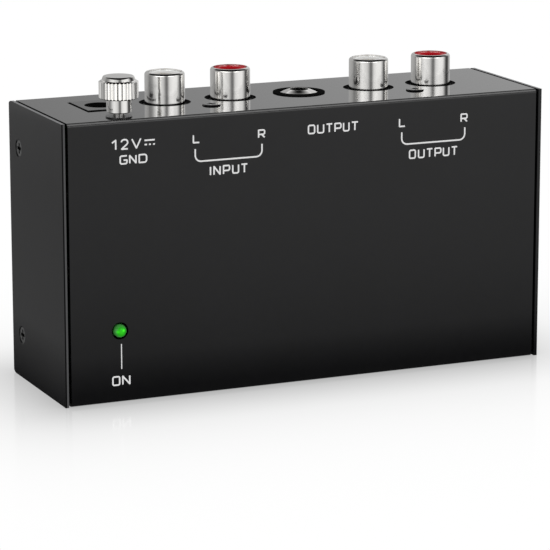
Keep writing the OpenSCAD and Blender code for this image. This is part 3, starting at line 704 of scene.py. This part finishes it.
# how much of the surround the object mirrors past the floor, by the length of the mirrored ray
# in metres. In front of the label face it is FRONT_FAR less a part that decays, and it starts
# over FRONT_CONTACT. Elsewhere it climbs over SIDE_NEAR, and a little more over SIDE_FAR. Past
# HORIZON there is no floor
FRONT_FAR = 0.95
FRONT_LOSS = 0.71
FRONT_DECAY = 10.0
FRONT_CONTACT = (0.008, 0.040)
SIDE_NEAR = (0.0, 0.055)
SIDE_SHARE = 0.60
SIDE_FAR = (0.2, 0.32)
SIDE_MORE = 0.1
CONTACT_SHARE = 0.02
HORIZON = (0.328, 0.341)
# half the width of the change between both, at the label face
FRONT_EDGE = 2 * MM


class PREAMP_OT_stage(bpy.types.Operator):
    """Camera, surround and pale floor"""

    bl_idname = "preamp.stage"
    bl_label = "Stage"

    def execute(self, context):
        studio = context.scene.preamp_studio
        self.camera(context, studio)
        self.surround(context, studio)
        self.floor(context, studio)
        context.scene.view_settings.view_transform = "Standard"
        return {"FINISHED"}

    def camera(self, context, studio):
        """Long lens, from the left front and a little above."""
        lens = bpy.data.cameras.new("camera")
        lens.lens = studio.focal_length
        lens.sensor_width = 36
        lens.clip_start = 0.01
        lens.clip_end = 50
        camera = bpy.data.objects.new("camera", lens)
        turn = Matrix.Rotation(math.radians(CAMERA_TURN), 4, "Z")
        tilt = Matrix.Rotation(math.radians(90 - CAMERA_DOWN), 4, "X")
        roll = Matrix.Rotation(math.radians(CAMERA_ROLL), 4, "Z")
        stand = Matrix.Translation(CAMERA_PLACE)
        camera.matrix_world = stand @ turn @ tilt @ roll
        context.scene.collection.objects.link(camera)
        context.scene.camera = camera

    def surround(self, context, studio):
        """White round the picture and even light on the object. Mirrored rays see a studio with
        bright and dark walls, brighter where the lamp behind the camera stands, and an arch
        over them. What is mirrored twice is brighter again."""
        world = bpy.data.worlds.new("surround")
        context.scene.world = world
        world.use_nodes = True
        tree = world.node_tree
        tree.nodes.clear()
        way = add(tree, "ShaderNodeTexCoord").outputs["Generated"]
        facing = {"Vector": way, "Rotation": (0, 0, math.radians(-CAMERA_TURN))}
        facing = add(tree, "ShaderNodeMapping", facing).outputs[0]
        split = add(tree, "ShaderNodeSeparateXYZ", {0: facing})
        near_side = calc(tree, "MULTIPLY", split.outputs["Y"], -1.0)
        bearing = calc(tree, "ARCTAN2", split.outputs["X"], near_side)
        wall = self.by_angle(tree, bearing, WALLS)
        rise = split.outputs["Z"]
        pitch = calc(tree, "ARCTAN2", rise, near_side)
        arch = self.by_angle(tree, pitch, ARCH)
        foot = remap(tree, rise, *LAMP_FOOT)
        lamp = calc(tree, "MULTIPLY", foot, remap(tree, rise, *LAMP_TOP, 1.0, 0.0))
        lamp = calc(tree, "MULTIPLY", lamp, remap(tree, near_side, *LAMP_SIDE))
        lamp = calc(tree, "MULTIPLY_ADD", lamp, studio.front_lamp, 1.0)
        wall = calc(tree, "MULTIPLY", wall, lamp)
        share = remap(tree, rise, *ARCH_FROM)
        seen = add(tree, "ShaderNodeMix", {0: share, 2: wall, 3: arch}).outputs[0]
        path = add(tree, "ShaderNodeLightPath")
        glossy = path.outputs["Is Glossy Ray"]
        twice = calc(tree, "SUBTRACT", path.outputs["Glossy Depth"], 1.0, clamp=True)
        twice = calc(tree, "MULTIPLY_ADD", twice, studio.twice, 1.0)
        mirrored = calc(tree, "MULTIPLY", glossy, calc(tree, "MULTIPLY", seen, twice))
        clear = path.outputs["Is Transmission Ray"]
        direct = calc(tree, "MAXIMUM", path.outputs["Is Camera Ray"], clear)
        soft = calc(tree, "MAXIMUM", direct, glossy)
        soft = calc(tree, "SUBTRACT", 1.0, soft, clamp=True)
        strength = calc(tree, "MULTIPLY_ADD", soft, studio.fill, direct)
        strength = calc(tree, "ADD", strength, mirrored)
        back = add(tree, "ShaderNodeBackground", {"Color": (1, 1, 1, 1), "Strength": strength})
        out = add(tree, "ShaderNodeOutputWorld")
        tree.links.new(back.outputs[0], out.inputs[0])

    def by_angle(self, tree, angle, stops):
        """Brightness by an angle, from a table in degrees."""
        turn = calc(tree, "MULTIPLY_ADD", angle, 0.5 / math.pi, 0.5)
        ramp = add(tree, "ShaderNodeValToRGB", {0: turn})
        ramp.color_ramp.interpolation = "LINEAR"
        points = ramp.color_ramp.elements
        points.remove(points[-1])
        points[0].position = 0
        for index, (degrees, value) in enumerate(stops):
            place_on_ramp = degrees / 360 + 0.5
            point = points[0] if index == 0 else points.new(place_on_ramp)
            point.color = (value, value, value, 1)
        return ramp.outputs[0]

    def floor(self, context, studio):
        """Pale floor: keeps the object's soft shadow and mirrors its foot a little."""
        form = bmesh.new()
        bmesh.ops.create_grid(form, x_segments=1, y_segments=1, size=FLOOR_HALF)
        mesh = bpy.data.meshes.new("floor")
        form.to_mesh(mesh)
        form.free()
        floor = bpy.data.objects.new("floor", mesh)
        context.scene.collection.objects.link(floor)
        made = bpy.data.materials.new("pale_floor")
        mesh.materials.append(made)
        made.use_nodes = True
        made.cycles.emission_sampling = "NONE"
        tree = made.node_tree
        tree.nodes.clear()
        spot = own_place(tree)
        path = add(tree, "ShaderNodeLightPath")
        shown = self.pale_floor(tree, spot, studio)
        dark = add(tree, "ShaderNodeEmission", {"Strength": MIRRORED_FLOOR})
        clear = add(tree, "ShaderNodeBsdfTransparent")
        in_mirrors = over(tree, self.mirrored_reach(tree, spot, path), dark, clear)
        bounced = add(tree, "ShaderNodeEmission", {"Strength": THROWN_BACK})
        other = over(tree, path.outputs["Is Glossy Ray"], bounced, in_mirrors)
        whole = over(tree, path.outputs["Is Camera Ray"], other, shown)
        out = add(tree, "ShaderNodeOutputMaterial")
        tree.links.new(whole.outputs[0], out.inputs[0])

    def pale_floor(self, tree, spot, studio):
        """The floor as it is seen: white, shaded round the case, glossy near its foot."""
        open_sky = {"Distance": SHADOW_REACH}
        open_sky = add(tree, "ShaderNodeAmbientOcclusion", open_sky, samples=16).outputs["AO"]
        shade = remap(tree, open_sky, 0.0, 1.0, SHADOW_LEVEL, 1.0, kind="LINEAR")
        speck = add(tree, "ShaderNodeTexNoise", {"Vector": spot, "Scale": 300.0})
        shade = calc(tree, "MULTIPLY_ADD", speck.outputs["Fac"], SPECKS, shade)
        white = add(tree, "ShaderNodeEmission", {"Strength": shade})
        sheen = add(tree, "ShaderNodeBsdfGlossy", {"Roughness": FLOOR_ROUGH})
        fade = calc(tree, "MULTIPLY", self.distance_from_foot(tree, spot), -1 / GLOSS_FADE)
        fade = calc(tree, "MULTIPLY", calc(tree, "EXPONENT", fade), studio.mirror)
        return over(tree, fade, white, sheen)

    def mirrored_reach(self, tree, spot, path):
        """How much of the surround the object mirrors past the floor, little near its foot."""
        flown = path.outputs["Ray Length"]
        front = calc(tree, "EXPONENT", calc(tree, "MULTIPLY", flown, -FRONT_DECAY))
        front = calc(tree, "MULTIPLY_ADD", front, -FRONT_LOSS, FRONT_FAR)
        contact = remap(tree, flown, *FRONT_CONTACT, CONTACT_SHARE, 1.0, kind="LINEAR")
        front = calc(tree, "MULTIPLY", front, contact)
        side = remap(tree, flown, *SIDE_NEAR, CONTACT_SHARE, SIDE_SHARE, kind="LINEAR")
        side = calc(tree, "ADD", side, remap(tree, flown, *SIDE_FAR, 0.0, SIDE_MORE))
        depth = add(tree, "ShaderNodeSeparateXYZ", {0: spot}).outputs["Y"]
        share = remap(tree, depth, FACE_Y - FRONT_EDGE, FACE_Y + FRONT_EDGE)
        reach = add(tree, "ShaderNodeMix", {0: share, 2: front, 3: side}).outputs[0]
        return calc(tree, "ADD", reach, remap(tree, flown, *HORIZON), clamp=True)

    def distance_from_foot(self, tree, spot):
        """Distance of a point of the floor from the case's footprint."""
        low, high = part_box("base_shell")
        centre = (low + high) / 2
        half = (high - low) / 2
        past = vector(tree, "SUBTRACT", spot, (centre.x, centre.y, 0))
        past = vector(tree, "ABSOLUTE", past)
        past = vector(tree, "SUBTRACT", past, (half.x, half.y, 0))
        past = vector(tree, "MAXIMUM", past)
        return vector(tree, "LENGTH", past, output="Value")


# depth of the bend between panel and label face, and of what counts as an end plate's sheet
BEND_DEPTH = 0.85 * MM
PLATE_DEPTH = 0.9 * MM
# width of the painted shade along the outer corner of an end plate's front edge, and the depth
# where it fades
SHADED_CORNER = 0.3 * MM
SHADE_DEPTH = (0.1 * MM, 0.2 * MM)


class PREAMP_OT_case(bpy.types.Operator):
    """Both sheet-steel shells in gloss enamel"""

    bl_idname = "preamp.case"
    bl_label = "Case"

    def execute(self, context):
        looks = context.scene.preamp_case
        side = enamel("cover_enamel", looks.enamel, IOR=1.38)
        panel = enamel("panel_enamel", looks.enamel, rough=(0.04, 0.06), IOR=1.5)
        # painted highlight: a pale line along the bend
        bend = self.bend_highlight_enamel("bend_painted_highlight", looks)
        ends = enamel("base_enamel", looks.enamel, IOR=1.25)
        # paler cut edges as a painted highlight, with painted shade along the outer front corner
        edge = self.edge_highlight_and_shade("edge_highlight", looks)
        # painted highlight, brighter on the top cut edges
        top = self.highlight_coat("top_edge_highlight", scaled(looks.edge_highlight, 2.2))
        dressed(
            "cover_shell", "cover", [side, panel, bend], angle=35,
            ease=looks.eased_edge, choose=self.cover_zone,
        )
        dressed(
            "base_shell", "base", [ends, edge, side, top], angle=35,
            ease=looks.eased_edge, choose=self.base_zone,
        )
        return {"FINISHED"}

    def cover_zone(self, face):
        """1 on the socket panel, 2 on the bend between it and the label face, 0 elsewhere."""
        if face.calc_center_median().z < PANEL_Z - BEND_DEPTH or face.normal.z < 0.02:
            return 0
        return 2 if face.normal.z < 0.98 and face.normal.y < 0 else 1

    def bend_highlight_enamel(self, name, looks):
        """Enamel with a paler line along the middle of a bend, a painted highlight."""
        made = enamel(name, looks.enamel, IOR=1.44)
        tree = made.node_tree
        height = add(tree, "ShaderNodeSeparateXYZ", {0: own_place(tree)}).outputs["Z"]
        low, high = PANEL_Z - looks.pale_low, PANEL_Z - looks.pale_high
        soft = 0.06 * MM
        above = remap(tree, height, low - soft, low + soft)
        below = remap(tree, height, high - soft, high + soft, 1.0, 0.0)
        recoloured(tree, calc(tree, "MULTIPLY", above, below), scaled(looks.pale, 1))
        return made

    def base_zone(self, face):
        """1 on the cut edges of the end plates, paler as a painted highlight; 2 on the right
        one's front edge, which stays plain; 3 on top, brighter still as a painted highlight.
        """
        inner = abs(LEFT_X) - PLATE_DEPTH
        in_sheet = all(abs(corner.co.x) > inner for corner in face.verts)
        if not in_sheet or abs(face.normal.x) > 0.1:
            return 0
        if face.normal.z > 0.9:
            return 3
        return 2 if face.normal.y < -0.5 and face.calc_center_median().x > 0 else 1

    def highlight_coat(self, name, colour):
        """Rough enamel on a cut edge, in a paler colour that is a painted highlight."""
        return finish(
            name, colour, (0.3, 0.4), tone=0.15, grain=1500.0, relief=3e-6, IOR=1.15,
        )

    def edge_highlight_and_shade(self, name, looks):
        """Paler enamel as a painted highlight on a cut edge, with painted shade along the outer
        corner of the front edge.
        """
        made = self.highlight_coat(name, looks.edge_highlight)
        tree = made.node_tree
        split = add(tree, "ShaderNodeSeparateXYZ", {0: own_place(tree)})
        outward = calc(tree, "ABSOLUTE", split.outputs["X"])
        corner = abs(LEFT_X) - SHADED_CORNER
        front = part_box("base_shell")[0].y
        soft = 0.05 * MM
        outer = remap(tree, outward, corner - soft, corner + soft)
        near, far = SHADE_DEPTH
        ahead = remap(tree, split.outputs["Y"], front + near, front + far, 1.0, 0.0)
        recoloured(tree, calc(tree, "MULTIPLY", outer, ahead), scaled(looks.enamel, 0.5))
        return made


class PREAMP_OT_legends(bpy.types.Operator):
    """Printed function legends on the label face"""

    bl_idname = "preamp.legends"
    bl_label = "Legends"

    def execute(self, context):
        looks = context.scene.preamp_case
        ink = finish("ink", looks.ink, (0.45, 0.6), tone=0.05, grain=2500.0, relief=3e-6)
        for name, signs in LEGENDS.items():
            share = LEADER_STROKE if name == "legend_line" else 1
            printed(name, signs, ink, looks.stroke * share)
        return {"FINISHED"}


class PREAMP_OT_sockets(bpy.types.Operator):
    """Phono sockets: plated shells, coloured insulators, contacts and housings"""

    bl_idname = "preamp.sockets"
    bl_label = "Phono sockets"

    def execute(self, context):
        looks = context.scene.preamp_sockets
        bright = plating("socket_plating", looks.plating, rough=(0.11, 0.15))
        brass = finish("contact_brass", BRASS, (0.22, 0.34), metal=1.0, grain=1500.0)
        housing = moulded("housing_black", BLACK_RESIN)
        satin = (0.30, 0.36)
        red = moulded("insulator_red", looks.right_channel, satin, relief=5e-7, IOR=1.08)
        white = moulded("insulator_white", looks.left_channel, satin, relief=5e-7, IOR=1.15)
        sides = (("left", white, "white_plastic"), ("right", red, "red_plastic"))
        for pair in ("input", "output"):
            for side, tint, slot in sides:
                self.shell(f"{pair}_shell_{side}", bright)
                self.insulator(f"{pair}_insulator_{side}", tint, slot)
            tubes = f"{pair}_contact_tubes"
            dressed(f"{pair}_contacts", tubes, [brass], angle=35)
            dressed(f"{pair}_block", f"{pair}_housing", [housing])
        return {"FINISHED"}

    def shell(self, node, bright):
        """Bright shell with its rounded rim and ground pin."""
        dressed(node, node.replace("shell", "sleeve"), [bright], angle=35)

    def insulator(self, node, tint, slot):
        """Moulded insulator: flat face, eased outside edge, lead-in round the contact."""
        low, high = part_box(node)
        centre = (low + high) / 2
        radius = (high.x - low.x) / 2 / MM
        depth = (high.z - low.z) / MM
        outline = [
            (2.0, 0),
            (radius, 0),
            (radius, depth),
            (2.35, depth - 0.02),
            (2.0, depth - 0.4),
        ]
        turned(
            node, node.replace("insulator", "bushing"), [tint], outline,
            (centre.x, centre.y, low.z), rounded=[(2, 0.14), (3, 0.12)],
        )


class PREAMP_OT_phone(bpy.types.Operator):
    """3.5 mm socket: bush, ring, housing and contacts"""

    bl_idname = "preamp.phone"
    bl_label = "Phone socket"

    def execute(self, context):
        looks = context.scene.preamp_sockets
        bright = plating("bush_plating", looks.plating)
        # black of the ring nut, also painted shade inside the bush's mouth and bore
        black = finish(
            "ring_black_bore_shade", (0.006, 0.006, 0.006), (0.10, 0.16), tone=0.2, Specular_IOR_Level=0.0,
        )
        low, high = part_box("phone_bush")
        middle_x, middle_y = (low.x + high.x) / 2, (low.y + high.y) / 2
        depth = (high.z - low.z) / MM
        outer = (high.x - low.x) / 2 / MM
        bore, mouth, lip = 1.8, 1.95, 0.08
        outline = [
            (bore, 0),
            (outer, 0),
            (outer, depth - 0.69),
            (3.6, depth - 0.56),
            (3.0, depth - 0.34),
            (2.1, depth),
            (mouth, depth),
            (mouth, depth - 1.2),
            (bore, depth - 1.6),
        ]

        def inside(face):
            """1 for the faces of the mouth and the bore, which take the black as painted shade.
            """
            centre = face.calc_center_median()
            away = math.hypot(centre.x - middle_x, centre.y - middle_y)
            return int(away < (mouth + 0.02) * MM and centre.z < high.z - lip * MM)

        turned(
            "phone_bush", "phone_nose", [bright, black], outline,
            (middle_x, middle_y, low.z), rounded=[(6, lip)], angle=12, choose=inside,
        )
        ring_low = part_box("phone_ring_nut")[0].z
        inner, ring, height = outer + 0.03, 5.4, 0.28
        outline = [(inner, 0), (ring, 0), (ring, 0.2), (ring - 0.5, height), (inner, height)]
        turned(
            "phone_ring_nut", "phone_ring", [black], outline,
            (middle_x, middle_y, ring_low),
        )
        housing = moulded("phone_black", BLACK_RESIN)
        dressed("phone_body", "phone_housing", [housing])
        coated("phone_springs", finish("spring_brass", BRASS, (0.2, 0.3), metal=1.0))
        return {"FINISHED"}


class PREAMP_OT_ground(bpy.types.Operator):
    """Ground terminal: knurled thumb screw, captive washer, nut, tag and wire"""

    bl_idname = "preamp.ground"
    bl_label = "Ground terminal"

    def execute(self, context):
        looks = context.scene.preamp_sockets
        bright = plating("screw_plating", looks.plating, rings=0.6)
        # painted shade: the waist under the knurled band takes a darker copy of the plating
        shaded = plating("waist_shaded_plating", scaled(looks.plating, 0.3), rings=0.6)
        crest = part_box("ground_screw")[1].z - 0.001 * MM
        waist = PANEL_Z + 0.95 * MM
        dressed(
            "ground_screw", "thumb_screw", [bright, shaded], angle=32, ease=0.22 * MM,
            eased=lambda edge: all(corner.co.z > crest for corner in edge.verts),
            choose=lambda face: int(face.calc_center_median().z < waist),
        )
        black = finish("washer_black", (0.008, 0.008, 0.008), (0.2, 0.3), tone=0.2)
        dressed("ground_washer", "captive_washer", [black], angle=40)
        zinc = finish("zinc", (0.55, 0.55, 0.53), (0.28, 0.4), metal=1.0)
        coated("ground_nut", zinc)
        coated("ground_tag", finish("tinned", TIN, (0.25, 0.4), metal=1.0))
        sleeve = moulded("wire_green", (0.02, 0.16, 0.04), rough=(0.35, 0.45))
        coated("ground_wire", sleeve)
        return {"FINISHED"}


class PREAMP_OT_power(bpy.types.Operator):
    """DC inlet: housing, centre pin and side spring"""

    bl_idname = "preamp.power"
    bl_label = "Power socket"

    def execute(self, context):
        housing = moulded("inlet_black", (0.006, 0.006, 0.006), rough=(0.08, 0.12), IOR=1.3)
        dressed("power_body", "inlet_housing", [housing])
        pin = finish("pin_steel", STEEL, (0.2, 0.3), metal=1.0)
        dressed("power_pin", "inlet_pin", [pin])
        coated("power_spring", finish("inlet_brass", BRASS, (0.2, 0.3), metal=1.0))
        return {"FINISHED"}


# the lamp's own light, brightest in the middle, and two painted highlights on it: offset from
# its middle and radius, in millimetres, and strength
LAMP_LIGHT_AND_HIGHLIGHTS = (
    ((0, 0, 0), 1.35, 0.30),
    ((-0.8, 0, 0), 0.5, 0.30),
    ((0.45, 0, 0.25), 0.45, 0.60),
)
LAMP_GLOW = (0.06, 1.0, 0.02, 1)
# colour of the rim, and the distances from the middle over which it sets in
LAMP_RIM = (0.055, 0.30, 0.055, 1)
RIM_FROM = (0.8 * MM, 1.1 * MM)


class PREAMP_OT_lamp(bpy.types.Operator):
    """Lit green lamp with its leads and spacer"""

    bl_idname = "preamp.lamp"
    bl_label = "Lamp"

    def execute(self, context):
        looks = context.scene.preamp_sockets
        low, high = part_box("lamp_lens")
        centre = (low + high) / 2
        body = (high.y - low.y) / MM
        flange, flange_radius, radius = 1.0, 1.9, 1.33
        outline = [
            (0.0, 0),
            (flange_radius, 0),
            (flange_radius, flange),
            (radius, flange),
            (radius, body),
            (0.0, body),
        ]
        lens = self.glow_and_highlights("lens_green", looks.lamp, Vector((centre.x, low.y, centre.z)))
        turned(
            "lamp_lens", "lamp_dome", [lens], outline,
            (centre.x, high.y, centre.z), rounded=[(4, 1.0)], steps=64, axis=(0, -1, 0), angle=50,
        )
        coated("lamp_leads", finish("lead_tin", TIN, (0.25, 0.4), metal=1.0))
        coated("lamp_spacer", moulded("spacer_black", (0.014, 0.014, 0.014)))
        return {"FINISHED"}

    def glow_and_highlights(self, name, colour, tip):
        """Green resin lit from inside, brightest in the middle and fading outwards, with two
        painted highlights and a paler rim."""
        made = finish(name, colour, (0.12, 0.2), tone=0.15, grain=1200.0, relief=1e-6, IOR=1.3)
        tree = made.node_tree
        shader = tree.nodes["Principled BSDF"]
        across = vector(tree, "SUBTRACT", own_place(tree), tip)
        across = vector(tree, "MULTIPLY", across, (1, 0, 1))
        glow_and_highlights = 0.0
        for offset, size, level in LAMP_LIGHT_AND_HIGHLIGHTS:
            away = vector(tree, "DISTANCE", across, Vector(offset) * MM, output="Value")
            glow_and_highlights = calc(tree, "ADD", remap(tree, away, 0.0, size * MM, level, 0.0), glow_and_highlights)
        tree.links.new(glow_and_highlights, shader.inputs["Emission Strength"])
        shader.inputs["Emission Color"].default_value = LAMP_GLOW
        out = vector(tree, "LENGTH", across, output="Value")
        recoloured(tree, remap(tree, out, *RIM_FROM), LAMP_RIM)
        return made


class PREAMP_OT_fasteners(bpy.types.Operator):
    """Case screws, panel screws and rubber feet"""

    bl_idname = "preamp.fasteners"
    bl_label = "Fasteners and feet"

    def execute(self, context):
        black = finish(
            "screw_black", (0.004, 0.004, 0.004), (0.3, 0.4), tone=0.25, grain=2200.0,
            Specular_IOR_Level=0.0,
        )
        # the outer faces of the end screws' heads are paler than their black sides
        paler_face = finish(
            "screw_face", (0.055, 0.055, 0.055), (0.18, 0.28), tone=0.25, grain=2200.0, IOR=1.35,
        )
        gloss = enamel("screw_gloss", (0.006, 0.006, 0.006), rough=(0.05, 0.08), IOR=1.5)
        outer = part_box("case_screws")[1].x - 0.02 * MM
        dressed(
            "case_screws", "end_screws", [black, paler_face], angle=35, ease=0.24 * MM,
            choose=lambda face: int(abs(face.calc_center_median().x) > outer),
        )
        dressed(
            "panel_screws", "socket_screws", [black, gloss], angle=35,
            ease=0.14 * MM, choose=lambda face: int(face.normal.z > 0.3),
        )
        rubber = finish(
            "rubber", (0.016, 0.016, 0.016), (0.6, 0.8), tone=0.2, grain=2600.0, relief=8e-6,
        )
        dressed("rubber_feet", "feet", [rubber], angle=40, ease=0.2 * MM)
        return {"FINISHED"}


class PREAMP_OT_board(bpy.types.Operator):
    """Circuit board and the parts on it"""

    bl_idname = "preamp.board"
    bl_label = "Circuit board"

    def execute(self, context):
        mask = finish(
            "solder_mask", (0.01, 0.09, 0.035), (0.25, 0.4), tone=0.3, grain=1800.0, relief=6e-6,
            blotch=350.0,
        )
        steel = finish("turned_steel", STEEL, (0.25, 0.4), metal=1.0)
        tin = finish("tin", TIN, (0.25, 0.4), metal=1.0)
        resin = moulded("chip_resin", (0.018, 0.018, 0.019), rough=(0.5, 0.65))
        coats = {
            "circuit_board": mask,
            "board_standoffs": steel,
            "board_screws": steel,
            "electrolytic_capacitors": finish("can_sleeve", (0.015, 0.03, 0.16), (0.3, 0.4)),
            "capacitor_tops": finish("can_top", (0.72, 0.72, 0.72), (0.3, 0.45), metal=1.0),
            "film_capacitors": moulded("film_red", (0.33, 0.03, 0.02), rough=(0.25, 0.35)),
            "amplifier_chips": resin,
            "voltage_regulator": resin,
            "chip_pins": tin,
            "resistors": finish("resistor_lacquer", (0.22, 0.38, 0.52), (0.3, 0.4)),
        }
        for node, coat in coats.items():
            coated(node, coat)
        return {"FINISHED"}


OPERATORS = (
    PREAMP_OT_stage,
    PREAMP_OT_case,
    PREAMP_OT_legends,
    PREAMP_OT_sockets,
    PREAMP_OT_phone,
    PREAMP_OT_ground,
    PREAMP_OT_power,
    PREAMP_OT_lamp,
    PREAMP_OT_fasteners,
    PREAMP_OT_board,
)


class PREAMP_PT_panel(bpy.types.Panel):
    """Sizes, colours and build steps"""

    bl_idname = "PREAMP_PT_panel"
    bl_label = "Phono preamp"
    bl_space_type = "VIEW_3D"
    bl_region_type = "UI"
    bl_category = "Preamp"

    def draw(self, context):
        scene = context.scene
        for group in (scene.preamp_case, scene.preamp_sockets, scene.preamp_studio):
            box = self.layout.box()
            for name in group.bl_rna.properties.keys():
                if name not in ("rna_type", "name"):
                    box.prop(group, name)
        for operator in OPERATORS:
            self.layout.operator(operator.bl_idname)


GROUPS = {
    "preamp_case": PreampCase,
    "preamp_sockets": PreampSockets,
    "preamp_studio": PreampStudio,
}


def register():
    """Registers the groups, operators and panel."""
    for name, group in GROUPS.items():
        bpy.utils.register_class(group)
        setattr(bpy.types.Scene, name, bpy.props.PointerProperty(type=group))
    for operator in OPERATORS:
        bpy.utils.register_class(operator)
    bpy.utils.register_class(PREAMP_PT_panel)


def unregister():
    """Takes the panel, operators and groups away again."""
    bpy.utils.unregister_class(PREAMP_PT_panel)
    for operator in reversed(OPERATORS):
        bpy.utils.unregister_class(operator)
    for name, group in GROUPS.items():
        delattr(bpy.types.Scene, name)
        bpy.utils.unregister_class(group)


def main():
    register()
    for step in ("stage", "case", "legends", "sockets", "phone", "ground", "power", "lamp",
                 "fasteners", "board"):
        getattr(bpy.ops.preamp, step)()


if __name__ == "__main__":
    main()
